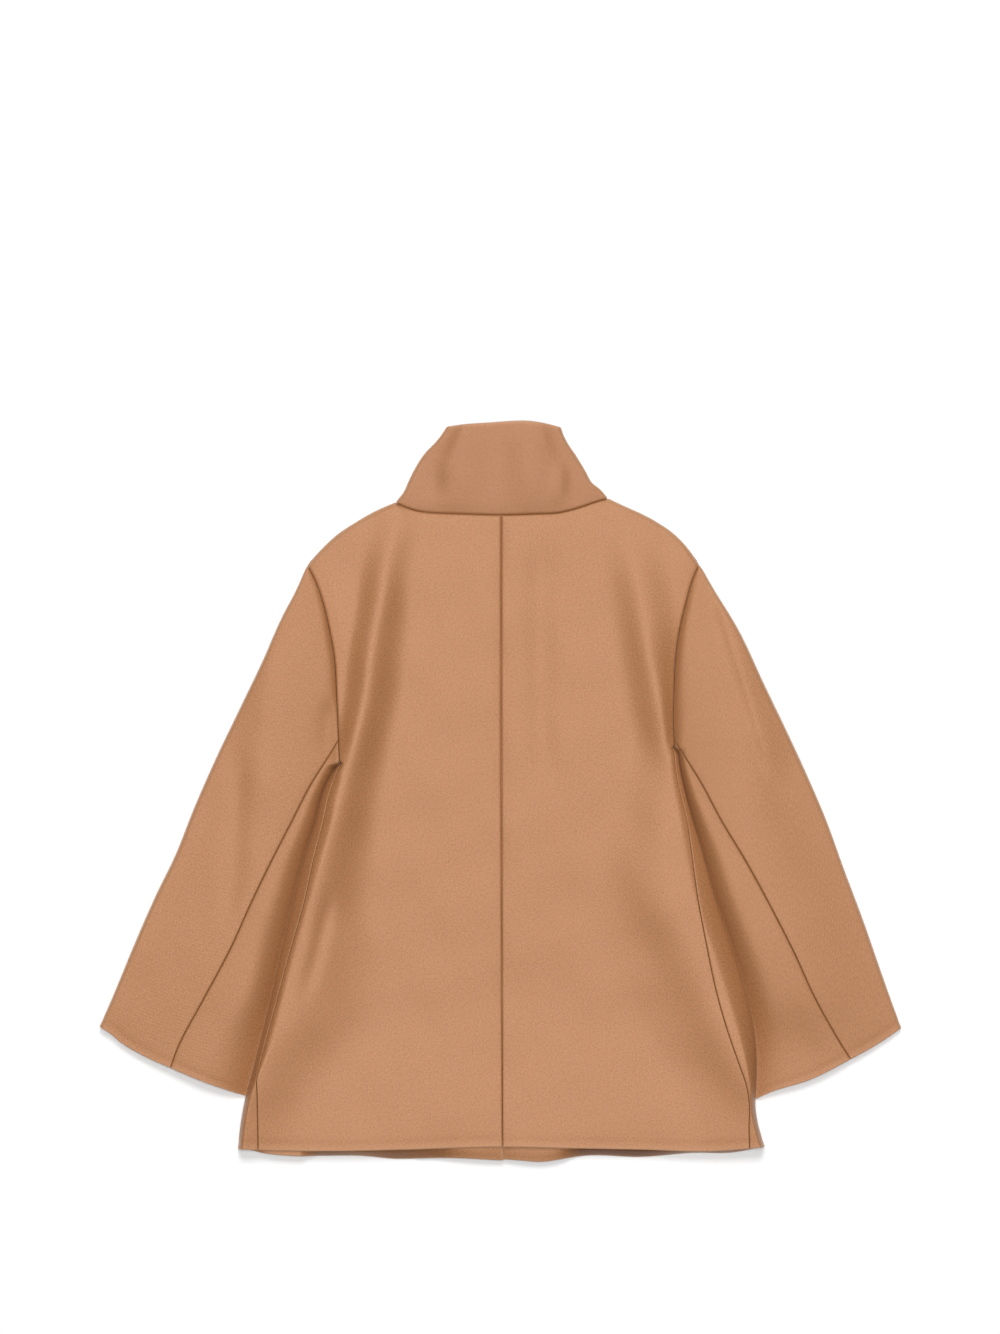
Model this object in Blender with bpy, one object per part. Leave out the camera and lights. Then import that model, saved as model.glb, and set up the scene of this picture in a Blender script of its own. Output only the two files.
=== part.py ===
# Wool cape jacket laid flat on a table, back side up.
# Two back panels, two fronts, a funnel collar and two-piece sleeves, each a wall of cloth.
# Part frame: +X to the viewer's right, +Y towards the collar, +Z up from the table.
# Tables are in millimetres. "drop" is measured down from the nape, where the centre-back
# seam meets the collar, and "out" is measured sideways from the middle of the body.

import bpy
import numpy as np

MM = 0.001
WALL = 1.8
SEAM_GAP = 0.3
NAPE_Y = 289.5
LEFT, RIGHT = -1, 1
SIDE_NAMES = {LEFT: "left", RIGHT: "right"}

# Heights in the pile of cloth above the table, and the widths that it slopes and rounds over
BODY_TOP = 7.4
TUCKED_TOP = 4.2
BODY_LIFT = 4.8
OVERLAP_LIFT = 2.6
EDGE_STAND = 2.4
HEM_STAND = 6.5
HEM_STAND_RUN = 160.0
FRONT_STAND = 7.3
FRONT_STAND_RUN = 55.0
FRONT_STAND_FADE = 25.0
LIFT_RUN = 7.0
LIFT_END_RUN = 42.0
TUCK_RUN = 6.5
SLEEVE_CLEAR = 9.0
UNDER_SLOPE = 13.0
OVERLAP_CLEAR = 12.0
OVERLAP_RUN = 10.0
BANK_CLEAR = 1.8
BANK_POWER = 2.6
ROLL_POWER = 1.35
SHOULDER_ROLL = 5.0
FOLD_ROLL = 3.7
NECK_BLEND = 10.0
FOLD_STEP = 2.0

# Centre front: the wearer's right front lies outside, so here it is the lowest layer
FRONT_EDGE_LEFT = 2.7
FRONT_EDGE_RIGHT = -72.0
COLLAR_END_TOP = -30.0
FRONT_NECK_DIP = 18.0
CENTRE_SEAM_TOP = 0.5
CENTRE_SEAM_HEM = 1.8

SEAM_SEARCH = 61
HALVES = [[0, 1, 2], [0, 2, 3]]
BESIDE_ROLL = 0.975
NEAR_SEAM = 1.5
SHARP_ANGLE = 1.0
WOOL_COLOUR = (0.565, 0.279, 0.150, 1.0)
WOOL_ROUGHNESS = 0.9


def table(columns, *rows):
    """Named columns, one array each, from rows of numbers."""
    return dict(zip(columns.split(), np.array(rows, dtype=float).T))


NECK_SEAM = table("x drop",
                  (-111.3, -13.6), (-104.0, -10.0), (-96.6, -6.9), (-87.0, -4.2), (-77.7, -2.7),
                  (-62.0, -1.7), (-46.2, -1.2), (0.0, 0.0),
                  (34.7, -1.0), (62.0, -2.6), (83.0, -7.9), (98.7, -13.3), (113.4, -17.6))

SHOULDER = {
    LEFT: table("out drop",
                (111.3, -13.6), (135.5, -2.6), (153.3, 7.9), (172.2, 20.5), (188.0, 35.2), (203.2, 52.0)),
    RIGHT: table("out drop",
                 (113.4, -17.6), (129.2, -10.0), (148.0, -1.6), (167.0, 8.9), (181.7, 19.4),
                 (194.3, 32.0), (208.4, 51.0)),
}

ARMHOLE = {
    LEFT: table("drop out",
                (52.0, 203.2), (67.7, 194.9), (91.9, 186.3), (122.3, 179.2), (150.7, 174.3),
                (187.4, 172.2), (235.7, 170.1), (260.0, 169.1)),
    RIGHT: table("drop out",
                 (51.0, 208.4), (67.7, 201.2), (91.9, 194.2), (122.3, 187.1), (150.7, 183.3),
                 (187.4, 181.7), (225.0, 181.5), (244.0, 182.4)),
}

# Rolled sides below the armholes. "edge" is the outermost line, "roll" the width of the
# round, and "seam" how far the side seam lies inside the edge.
SIDE = {
    LEFT: table("drop edge roll seam",
                (260.0, 169.1, 4.0, 2.0), (268.0, 175.0, 8.0, 3.5), (278.0, 181.0, 13.0, 5.5),
                (293.0, 187.0, 15.0, 6.5), (320.0, 194.0, 17.0, 7.5), (362.0, 207.0, 18.0, 10.0),
                (404.0, 217.5, 18.0, 11.5), (456.0, 230.0, 17.5, 9.0), (509.0, 242.0, 15.0, 6.5),
                (561.0, 255.0, 10.0, 5.5), (590.0, 262.5, 8.0, 7.0), (610.6, 268.0, 8.0, 13.0),
                (638.0, 273.0, 9.0, 18.5), (664.0, 276.2, 10.0, 22.0)),
    RIGHT: table("drop edge roll seam",
                 (244.0, 182.4, 4.0, 2.5), (252.0, 185.5, 7.0, 3.5), (262.0, 187.5, 9.0, 4.0),
                 (288.0, 192.8, 12.0, 4.8), (320.0, 201.5, 17.0, 5.5), (341.8, 208.0, 21.0, 9.0),
                 (400.6, 224.7, 25.0, 18.0), (452.0, 241.6, 26.0, 25.5), (504.5, 257.5, 25.0, 30.0),
                 (539.2, 265.5, 21.0, 28.0), (571.7, 268.5, 15.0, 20.0), (599.0, 268.0, 10.0, 10.5),
                 (620.0, 267.0, 9.0, 6.5), (640.0, 270.0, 10.0, 10.0), (664.0, 277.2, 10.0, 16.5)),
}

BACK_HEM = table("x drop",
                 (-276.2, 664.9), (-201.6, 666.8), (-89.0, 664.9), (0.0, 662.3),
                 (73.0, 663.8), (145.0, 665.2), (222.6, 666.8), (277.2, 662.5))

# The front's hem shows below the back's: "droop" is 0 where it stays level, and 1 where it hangs
# down to the table
FRONT_HEM = {
    LEFT: table("out drop droop",
                (-80.0, 676.0, 0.3), (0.0, 676.7, 0.3), (43.0, 674.6, 0.4), (66.0, 674.6, 0.8),
                (80.0, 675.0, 1.0), (109.0, 675.7, 1.0), (147.0, 672.5, 1.0), (192.0, 672.5, 1.0),
                (214.0, 672.3, 0.1), (246.0, 669.4, 0.0), (262.0, 666.5, 0.0), (276.2, 664.9, 0.0)),
    RIGHT: table("out drop droop",
                 (-80.0, 673.6, 1.0), (-66.0, 673.8, 0.8), (-43.0, 674.3, 0.4), (0.0, 675.6, 0.3),
                 (18.9, 676.7, 0.2), (42.0, 678.3, 0.2),
                 (63.0, 675.7, 0.3), (76.0, 673.8, 0.8), (87.0, 672.5, 1.0), (149.0, 673.6, 1.0),
                 (202.7, 669.4, 1.0), (241.5, 669.0, 0.8), (262.0, 665.5, 0.3), (277.2, 662.5, 0.0)),
}

# The back lies low in the middle. From "foot" it climbs by "rise" to a long crest beside each
# sleeve, and above the armhole's foot it falls again beyond the crest.
BACK_LIFT = {
    LEFT: table("drop foot crest rise fall fall_run",
                (-20.0, 80.0, 107.0, 0.0, 0.0, 30.0), (15.0, 86.0, 112.0, 3.0, 2.5, 30.0),
                (47.0, 92.0, 119.0, 9.0, 7.0, 28.0), (89.0, 96.0, 126.0, 14.0, 9.5, 26.0),
                (141.0, 98.0, 135.5, 16.0, 9.5, 24.0), (194.0, 106.0, 143.0, 16.0, 9.0, 23.0),
                (236.0, 115.0, 153.0, 15.5, 7.0, 20.0), (278.0, 123.0, 165.0, 15.0, 0.0, 20.0),
                (320.0, 131.0, 177.0, 15.0, 0.0, 20.0), (362.0, 132.0, 189.0, 15.0, 0.0, 20.0),
                (404.0, 124.0, 199.5, 15.0, 0.0, 20.0), (456.0, 102.0, 212.5, 15.0, 0.0, 20.0),
                (509.0, 105.0, 227.0, 15.0, 0.0, 20.0), (561.0, 140.0, 250.0, 14.5, 0.0, 20.0),
                (598.0, 172.0, 262.0, 13.0, 0.0, 20.0), (630.0, 196.0, 270.0, 9.0, 0.0, 20.0),
                (665.0, 208.0, 274.0, 7.0, 0.0, 20.0)),
    RIGHT: table("drop foot crest rise fall fall_run",
                 (-20.0, 90.0, 130.0, 0.0, 0.0, 40.0), (15.0, 98.0, 135.0, 1.5, 1.5, 40.0),
                 (47.0, 106.0, 140.0, 4.0, 3.5, 40.0), (89.0, 113.0, 147.0, 8.0, 6.0, 38.0),
                 (141.0, 122.0, 155.4, 12.0, 8.5, 32.0), (194.0, 129.0, 167.0, 12.0, 8.0, 20.0),
                 (236.0, 137.0, 173.0, 10.5, 6.5, 14.0), (278.0, 132.0, 181.0, 9.0, 0.0, 14.0),
                 (320.0, 104.0, 185.0, 10.5, 0.0, 14.0), (362.0, 92.0, 190.0, 13.0, 0.0, 14.0),
                 (404.0, 98.0, 200.0, 15.0, 0.0, 14.0), (456.0, 118.0, 214.0, 16.0, 0.0, 14.0),
                 (509.0, 140.0, 232.0, 16.5, 0.0, 14.0), (561.0, 158.0, 258.0, 16.0, 0.0, 14.0),
                 (598.0, 178.0, 265.0, 14.0, 0.0, 14.0), (630.0, 190.0, 271.0, 10.0, 0.0, 14.0),
                 (665.0, 200.0, 274.0, 8.0, 0.0, 14.0)),
}

# Sleeve: outer folded edge, and the inner folded edge that lies hidden under the body
SLEEVE_OUTER = {
    LEFT: table("drop out",
                (52.0, 203.5), (77.2, 214.2), (107.6, 230.0), (150.7, 248.9), (201.1, 273.0),
                (251.5, 297.2), (306.1, 321.3), (358.6, 342.3), (397.4, 361.2), (449.9, 384.3),
                (485.6, 399.0), (510.8, 409.5), (536.5, 421.0)),
    RIGHT: table("drop out",
                 (51.0, 208.7), (74.0, 221.6), (119.2, 248.9), (179.0, 277.2), (229.4, 301.4),
                 (270.4, 320.3), (316.6, 340.2), (374.3, 361.2), (424.7, 380.1), (473.0, 396.9),
                 (508.7, 409.5), (538.1, 420.4)),
}
SLEEVE_INNER = {
    LEFT: table("drop out",
                (259.4, 169.5), (264.0, 175.2), (268.5, 176.6), (282.0, 177.2), (293.0, 177.6),
                (315.0, 178.8), (338.6, 181.3), (390.0, 187.0), (435.0, 191.5),
                (480.0, 200.0), (524.5, 211.5), (566.5, 223.5), (617.0, 238.0)),
    RIGHT: table("drop out",
                 (243.6, 182.8), (248.0, 185.4), (252.5, 186.2), (262.0, 186.5), (275.0, 186.8),
                 (288.0, 187.2), (300.0, 187.8), (320.0, 189.5), (341.8, 192.0), (400.6, 200.0),
                 (452.0, 211.0), (504.5, 222.0), (539.2, 229.5), (571.7, 234.0), (619.5, 238.0)),
}
CUFF = {
    LEFT: table("out drop",
                (421.0, 536.5), (407.4, 545.5), (399.0, 552.8), (378.0, 565.4), (346.5, 579.7),
                (304.5, 596.9), (267.1, 609.5), (238.0, 617.0)),
    RIGHT: table("out drop",
                 (420.4, 538.1), (405.3, 548.6), (388.5, 559.1), (367.1, 570.7), (325.5, 591.7),
                 (283.5, 605.3), (264.6, 613.7), (238.0, 619.5)),
}
# The visible seam of each sleeve, and the hidden one as shares of its width and length
SLEEVE_SEAM = {
    LEFT: table("drop out",
                (222.0, 161.8), (239.1, 172.2), (263.2, 186.9), (278.0, 196.4), (320.0, 218.4),
                (362.0, 239.9), (404.0, 260.4), (456.0, 284.0), (509.0, 312.4), (561.0, 339.7),
                (580.0, 346.5), (600.0, 354.0)),
    RIGHT: table("drop out",
                 (224.0, 173.8), (241.2, 184.8), (278.0, 208.4), (320.0, 231.0), (362.0, 256.2),
                 (404.0, 279.3), (456.0, 306.1), (509.0, 330.8), (561.0, 360.7), (571.0, 367.1),
                 (600.0, 384.0)),
}
HIDDEN_SEAM = table("along share", (0.0, 0.89), (0.25, 0.78), (0.5, 0.70), (0.75, 0.60), (1.0, 0.50))
# The upper face has its own height, "outer", at the outer fold. From "foot" it climbs by "rise" to
# a hump at "top", and dives down a bank of the given width to the armhole or under the body.
SLEEVE_LIFT = {
    LEFT: table("drop outer foot top rise bank",
                (52.0, 7.4, 215.0, 190.0, 0.5, 12.0), (100.0, 10.0, 238.0, 200.0, 2.0, 12.0),
                (141.0, 12.0, 262.0, 212.0, 3.0, 13.0), (194.0, 12.5, 276.0, 226.0, 4.0, 17.0),
                (236.0, 11.5, 292.0, 232.0, 5.0, 26.0), (262.0, 11.0, 300.0, 234.0, 5.5, 15.0),
                (278.0, 10.5, 306.0, 236.0, 6.0, 13.0), (320.0, 10.0, 320.0, 238.0, 8.5, 20.0),
                (362.0, 9.5, 330.0, 242.0, 11.0, 30.0), (404.0, 9.0, 340.0, 246.0, 12.5, 36.0),
                (456.0, 8.5, 350.0, 256.0, 12.5, 42.0), (509.0, 8.0, 362.0, 270.0, 11.5, 46.0),
                (561.0, 7.5, 372.0, 300.0, 9.5, 66.0), (620.0, 7.5, 380.0, 320.0, 8.0, 72.0)),
    RIGHT: table("drop outer foot top rise bank",
                 (51.0, 7.4, 222.0, 200.0, 0.5, 12.0), (100.0, 10.0, 245.0, 205.0, 2.0, 12.0),
                 (141.0, 12.0, 266.0, 215.0, 3.0, 14.0), (194.0, 12.0, 292.0, 232.0, 4.0, 16.0),
                 (232.0, 10.5, 322.0, 240.0, 6.0, 17.0), (248.0, 10.0, 326.0, 242.0, 6.5, 12.0),
                 (278.0, 9.5, 336.0, 250.0, 7.5, 13.0), (320.0, 8.5, 352.0, 260.0, 10.0, 23.0),
                 (362.0, 8.0, 372.0, 272.0, 12.5, 36.0), (404.0, 8.0, 392.0, 286.0, 13.5, 43.0),
                 (456.0, 7.5, 408.0, 306.0, 13.5, 46.0), (509.0, 7.0, 420.0, 322.0, 12.0, 46.0),
                 (561.0, 7.0, 430.0, 338.0, 9.5, 48.0), (620.0, 7.0, 435.0, 350.0, 8.0, 48.0)),
}

COLLAR_SIDE = {
    LEFT: table("drop out",
                (-13.9, 111.3), (-24.7, 101.9), (-36.2, 96.6), (-48.8, 90.3), (-63.5, 80.9),
                (-79.3, 66.2), (-92.9, 56.7)),
    RIGHT: table("drop out",
                 (-17.9, 113.4), (-26.8, 105.0), (-35.2, 95.0), (-45.7, 89.3), (-61.4, 79.8),
                 (-79.3, 68.3), (-92.3, 63.0)),
}
COLLAR_TOP = table("x drop",
                   (-56.7, -92.9), (-35.7, -95.6), (-13.7, -97.1), (10.5, -98.8), (25.2, -99.2),
                   (43.0, -97.1), (63.0, -92.3))

# How many points each stretch of a piece has, and how they crowd towards its curved end
ROLL_ROWS = 4
YOKE_ROWS = 12
SKIRT_ROWS = (0.012, 0.025, 0.045, 0.08, 0.14, 0.22, 0.31, 0.4, 0.49, 0.58, 0.67, 0.76, 0.84, 0.91,
              0.975, 1.0)
NECK_COLUMNS = 5
SHOULDER_COLUMNS = {"back": 10, "front": 5}
ROLL_COLUMNS = 3
FRONT_NECK_COLUMNS = {LEFT: 9, RIGHT: 13}
STRIP_COLUMNS = 9
SLEEVE_ROWS = (0.0, 0.012, 0.025, 0.045, 0.075, 0.12, 0.19, 0.27, 0.35, 0.43, 0.51, 0.59, 0.67, 0.75,
               0.83, 0.915, 1.0)
TOP_SLEEVE_COLUMNS = 11
UNDER_SLEEVE_COLUMNS = 7
TUCKED_COLUMNS = 3
ROUND_COLUMNS = 7
COLLAR_ROWS = 7
YOKE_CROWDING = 1.6
BACK_CROWDING = 1.25
BANK_CROWDING = 1.5


def smoothstep(share):
    """Zero below 0, one above 1, with a soft S between."""
    t = np.clip(share, 0.0, 1.0)
    return t * t * (3.0 - 2.0 * t)


def bend(at, where, value):
    """Smooth curve through a table's points: a cubic on each stretch, with the mean slope at each row."""
    at = np.asarray(at, dtype=float)
    slope = np.gradient(value, where)
    i = np.clip(np.searchsorted(where, at) - 1, 0, len(where) - 2)
    step = where[i + 1] - where[i]
    t = np.clip((at - where[i]) / step, 0.0, 1.0)
    start = value[i] * (1 + 2 * t) * (1 - t) ** 2 + slope[i] * step * t * (1 - t) ** 2
    end = value[i + 1] * t * t * (3 - 2 * t) - slope[i + 1] * step * t * t * (1 - t)
    return start + end


def along(rows, share):
    """Out and drop at a share of the length of a table's line."""
    length = np.hypot(np.diff(rows["out"]), np.diff(rows["drop"])).cumsum()
    where = np.concatenate([[0.0], length]) / length[-1]
    return np.stack([bend(share, where, rows["out"]), bend(share, where, rows["drop"])], axis=-1)


def lift(side, drop):
    """How far the body is raised by the sleeve under it, from the armhole to just past the cuff."""
    inner = SLEEVE_INNER[side]["drop"]
    up = smoothstep((drop - inner[0]) / LIFT_RUN)
    down = smoothstep((drop - inner[-1] - SLEEVE_CLEAR) / LIFT_END_RUN)
    return BODY_LIFT * up * (1 - down)


def past_sleeve(side, out, drop):
    """How far a point lies out past the hidden inner edge of the sleeve."""
    return out - bend(drop, SLEEVE_INNER[side]["drop"], SLEEVE_INNER[side]["out"])


def over_end(x, end_x):
    """One over the lowest layer of the front or collar, zero clear of its end."""
    return smoothstep((x - end_x + OVERLAP_CLEAR) / OVERLAP_RUN + 1)


def hem_stand(drop):
    """How far the back stands up towards its hem."""
    return HEM_STAND * smoothstep((drop - BACK_HEM["drop"].min()) / HEM_STAND_RUN + 1)


def body_top(side, out, drop):
    """Height of the back's outer face."""
    rows = BACK_LIFT[side]
    foot, crest, rise, fall, fall_run = (bend(drop, rows["drop"], rows[name])
                                         for name in ("foot", "crest", "rise", "fall", "fall_run"))
    climb = rise * smoothstep((out - foot) / (crest - foot)) - fall * smoothstep((out - crest) / fall_run)
    return BODY_TOP + climb + hem_stand(drop)


def body_under(side, out, drop):
    """Height of the fronts' outer face, which is down: on the table, or up over what lies below it."""
    ramp = smoothstep((past_sleeve(side, out, drop) + SLEEVE_CLEAR + UNDER_SLOPE) / UNDER_SLOPE)
    overlap = OVERLAP_LIFT * over_end(side * out, FRONT_EDGE_RIGHT) if side == LEFT else 0.0
    return lift(side, drop) * ramp + overlap


def sleeve_top(side, out, drop):
    """Height of the sleeve's upper face: level with the body at the armhole, and below that
    diving under it."""
    rows = SLEEVE_LIFT[side]
    outer, foot, top, rise, bank = (bend(drop, rows["drop"], rows[name])
                                    for name in ("outer", "foot", "top", "rise", "bank"))
    level = outer + rise * smoothstep((foot - out) / (foot - top))
    below_pit = smoothstep((drop - SLEEVE_INNER[side]["drop"][0]) / TUCK_RUN)
    armhole_out = bend(drop, ARMHOLE[side]["drop"], ARMHOLE[side]["out"])
    low = body_top(side, armhole_out, drop) * (1 - below_pit) + TUCKED_TOP * below_pit
    edge = bend(drop, SIDE[side]["drop"], SIDE[side]["edge"]) + BANK_CLEAR
    up_bank = 1 - (1 - np.clip((out - np.maximum(armhole_out, edge)) / bank, 0.0, 1.0)) ** BANK_POWER
    return low + (level - low) * up_bank


def placed(side, out, drop, height):
    """Points of the part from out, drop and height."""
    out, drop, height = np.broadcast_arrays(out, drop, height)
    return np.stack([side * out, NAPE_Y - drop, height], axis=-1)


def wool(name):
    """Camel wool flannel."""
    material = bpy.data.materials.new(name + "_wool")
    material.use_nodes = True
    shader = material.node_tree.nodes["Principled BSDF"]
    shader.inputs["Base Color"].default_value = WOOL_COLOUR
    shader.inputs["Roughness"].default_value = WOOL_ROUGHNESS
    shader.inputs["Metallic"].default_value = 0.0
    return material


def cloth_piece(name, face, flipped, collection):
    """One cut piece as a closed wall: the grid that face(0) gives outside, the one that face(WALL)
    gives inside, and a strip round the border. Grid points that are not numbers are left out."""
    outer, inner = face(0.0), face(WALL)
    rows, columns = outer.shape[:2]
    number = np.arange(rows * columns).reshape(rows, columns)
    quads = np.stack([number[:-1, :-1], number[1:, :-1], number[1:, 1:], number[:-1, 1:]], axis=-1)
    quads = quads.reshape(-1, 4)
    quads = quads[np.isfinite(outer.reshape(-1, 3)[quads, 0]).all(axis=1)]
    if flipped:
        quads = quads[:, ::-1]
    edges = np.stack([quads, np.roll(quads, -1, axis=1)], axis=-1).reshape(-1, 2)
    paired = {(b, a) for a, b in edges.tolist()}
    border = np.array([edge for edge in edges.tolist() if tuple(edge) not in paired])
    inside = rows * columns
    rim = np.stack([border[:, 1], border[:, 0], border[:, 0] + inside, border[:, 1] + inside], axis=-1)
    faces = quads[:, HALVES].reshape(-1, 3)
    faces = np.concatenate([faces, faces[:, ::-1] + inside, rim[:, HALVES].reshape(-1, 3)])
    used, renumbered = np.unique(faces, return_inverse=True)
    corners = np.concatenate([outer, inner]).reshape(-1, 3)[used] * MM
    mesh = bpy.data.meshes.new(name)
    mesh.from_pydata(corners.tolist(), [], renumbered.reshape(-1, 3).tolist())
    mesh.shade_smooth()
    mesh.set_sharp_from_angle(angle=SHARP_ANGLE)
    mesh.materials.append(wool(name))
    collection.objects.link(bpy.data.objects.new(name, mesh))


class Half:
    """The sections of one half of the body, a row each from the shoulder to the hem. Above the
    armhole's foot they end at the armhole. Below it the cloth runs on round the rolled side, and a
    "distance" is measured from the middle of the back, round the side and back along the underside."""

    def __init__(self, side):
        self.side = side
        turn = np.linspace(0.0, np.pi / 2, ROLL_ROWS)
        yoke = np.linspace(0.0, 1.0, YOKE_ROWS + 1)[1:] ** YOKE_CROWDING
        skirt = np.array(SKIRT_ROWS)
        below = np.ones(YOKE_ROWS + len(skirt))
        self.turn = np.concatenate([turn, below * np.pi / 2])[:, None]
        self.to_pit = np.concatenate([np.zeros(ROLL_ROWS), yoke, np.ones(len(skirt))])[:, None]
        self.to_hem = np.concatenate([np.zeros(ROLL_ROWS + YOKE_ROWS), skirt])[:, None]
        self.neck_out = SHOULDER[side]["out"][0]
        self.tip_out = SHOULDER[side]["out"][-1]
        self.tip_drop = SHOULDER[side]["drop"][-1]
        self.pit_drop = ARMHOLE[side]["drop"][-1]
        self.on_yoke = self.to_pit < 1.0
        drop = self.side_drop(0.0)
        edge = bend(drop, SIDE[side]["drop"], SIDE[side]["edge"])
        seam = bend(drop, SIDE[side]["drop"], SIDE[side]["seam"])
        self.roll = bend(drop, SIDE[side]["drop"], SIDE[side]["roll"])
        self.start = edge - self.roll
        self.sleeve_out = bend(drop, SLEEVE_INNER[side]["drop"], SLEEVE_INNER[side]["out"])
        top = body_top(side, self.start, drop)
        under = body_under(side, self.start, drop)
        self.edge_height = under + EDGE_STAND
        self.over_edge = top - self.edge_height
        half = (top - under) / 2
        length = np.pi * np.sqrt((self.roll ** 2 + half ** 2) / 2)
        self.end = self.start + length
        lean = np.arcsin(1 - np.clip(np.abs(seam) / self.roll, 0.0, 1.0))
        turned = np.where(seam >= 0, lean, np.pi - lean) / np.pi
        self.seam = np.where(seam > self.roll, edge - seam, self.start + length * turned)

    def side_drop(self, depth):
        """Drop of each row where it ends: at the armhole, then at the side."""
        drop = self.tip_drop + SHOULDER_ROLL - (SHOULDER_ROLL - depth) * np.cos(self.turn)
        drop = drop + (self.pit_drop - drop) * self.to_pit
        return drop + (SIDE[self.side]["drop"][-1] - drop) * self.to_hem

    def armhole(self, depth):
        """Out of the armhole's seam on each row."""
        rows = ARMHOLE[self.side]
        return bend(self.side_drop(depth), rows["drop"], rows["out"]) - SEAM_GAP / 2

    def armhole_inset(self, depth, top_out):
        """How far the armhole's curve moves at a depth below the rounded shoulder."""
        return (self.armhole(depth) - self.armhole(0.0)) * self.shoulder_share(top_out)

    def rolled(self, distance):
        """How far round the side each distance is, as shares of the roll's width and of its height.
        Powers of the two add up to one. Below the edge the power is 2, a plain ellipse. Above it the
        power is less, so that the cloth falls away sooner."""
        turn = np.pi * np.clip((distance - self.start) / (self.end - self.start), 0.0, 1.0)
        power = np.where(turn < np.pi / 2, ROLL_POWER, 2.0)
        wide = np.abs(np.sin(turn))
        return wide, np.sign(np.cos(turn)) * (1 - wide ** power) ** (1 / power)

    def out_at(self, distance, depth):
        """Out at each distance: flat along the back, round the side, and flat back along the fronts."""
        wide, _ = self.rolled(distance)
        back = np.maximum(distance - self.end, 0.0)
        return np.minimum(distance, self.start) + (self.roll - depth) * wide - back

    def height_at(self, distance, out, drop, depth):
        """Height at each distance, of the back, of the rolled side or of the front."""
        _, high = self.rolled(distance)
        rolled = self.edge_height + (np.where(high > 0, self.over_edge, EDGE_STAND) - depth) * high
        top = body_top(self.side, out, drop) - depth
        under = body_under(self.side, out, drop) + depth
        return np.where(distance <= self.start, top, np.where(distance < self.end, rolled, under))

    def shoulder_share(self, out):
        """One on the shoulder, zero along the neck seam, soft between them."""
        return smoothstep((out - self.neck_out) / NECK_BLEND + 1)

    def drop_at(self, top_out, dip, hem, depth):
        """Drop of each point: rows follow the neck and shoulder at the top, run level with the
        armhole's foot, and follow the hem at the bottom."""
        shoulder = bend(top_out, SHOULDER[self.side]["out"], SHOULDER[self.side]["drop"])
        top = np.where(top_out < self.neck_out, neck_drop(self.side * top_out, dip), shoulder) + SEAM_GAP / 2
        inset = depth * self.shoulder_share(top_out)
        top = top + SHOULDER_ROLL - (SHOULDER_ROLL - inset) * np.cos(self.turn)
        drop = top + (self.pit_drop - top) * self.to_pit
        return drop + (hem - drop) * self.to_hem

    def shoulder_round(self, height, middle, top_out):
        """Height rounded down, or up, to the shoulder seam halfway between the layers."""
        rounded = middle + (height - middle) * np.sin(self.turn)
        return height + (rounded - height) * self.shoulder_share(top_out)


def neck_drop(x, dip):
    """Drop of the neck seam. The fronts' side of it dips below the back's in the middle."""
    left, right = NECK_SEAM["x"][0], NECK_SEAM["x"][-1]
    from_middle = (2 * x - left - right) / (right - left)
    return bend(x, NECK_SEAM["x"], NECK_SEAM["drop"]) + dip * np.clip(1 - from_middle ** 2, 0.0, 1.0)


def back_hem(x):
    """Drop of the back's hem."""
    return bend(x, BACK_HEM["x"], BACK_HEM["drop"])


def front_stand(half, out, drop):
    """How far the front stands off the table: up towards the back's hem, then down to its own."""
    rows = FRONT_HEM[half.side]
    at_back_hem = back_hem(half.side * out)
    past = (drop - at_back_hem) / (bend(out, rows["out"], rows["drop"]) - at_back_hem + SEAM_GAP)
    up = smoothstep((drop - at_back_hem) / FRONT_STAND_RUN + 1)
    droop = np.clip(bend(out, rows["out"], rows["droop"]), 0.0, 1.0)
    down = 1 - droop * np.clip(past, 0.0, 1.0)
    return FRONT_STAND * up * down * smoothstep((half.start - out) / FRONT_STAND_FADE)


def back_panel(side, collection):
    """One half of the back, from the centre-back seam to the armhole and the side seam."""
    half = Half(side)
    centre_out = CENTRE_SEAM_TOP + (CENTRE_SEAM_HEM - CENTRE_SEAM_TOP) * half.to_hem
    start = side * centre_out + SEAM_GAP / 2
    neck_share = (half.neck_out - start[0]) / (half.tip_out - start[0])
    outwards = 1 - (1 - np.linspace(0.0, 1.0, SHOULDER_COLUMNS["back"] + 1)[1:]) ** BACK_CROWDING
    beside_roll = 1 + (BESIDE_ROLL - 1) * np.linspace(1.0, 0.0, ROLL_COLUMNS + 1)[1:]
    share = np.concatenate([neck_share * np.linspace(0.0, 1.0, NECK_COLUMNS + 1),
                            neck_share + (BESIDE_ROLL - neck_share) * outwards, beside_roll])
    seam = half.seam - SEAM_GAP / 2
    flat_end = np.minimum(half.start, seam - NEAR_SEAM)
    rolled = np.clip((share - BESIDE_ROLL) / (1 - BESIDE_ROLL), 0.0, 1.0)
    distance = start + (flat_end - start) * np.minimum(share / BESIDE_ROLL, 1.0) + (seam - flat_end) * rolled
    top_out = start + (half.tip_out - start) * share

    def face(depth):
        yoke_out = start + (half.armhole(0.0) - start) * share + half.armhole_inset(depth, top_out)
        out = np.where(half.on_yoke, yoke_out, half.out_at(distance, depth))
        drop = half.drop_at(top_out, 0.0, back_hem(side * out), depth)
        yoke = half.shoulder_round(body_top(side, out, drop) - depth, (BODY_TOP + SEAM_GAP) / 2, top_out)
        height = np.where(half.on_yoke, yoke, half.height_at(distance, out, drop, depth))
        return placed(side, out, drop, height)

    cloth_piece("back_" + SIDE_NAMES[side], face, side == LEFT, collection)


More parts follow.
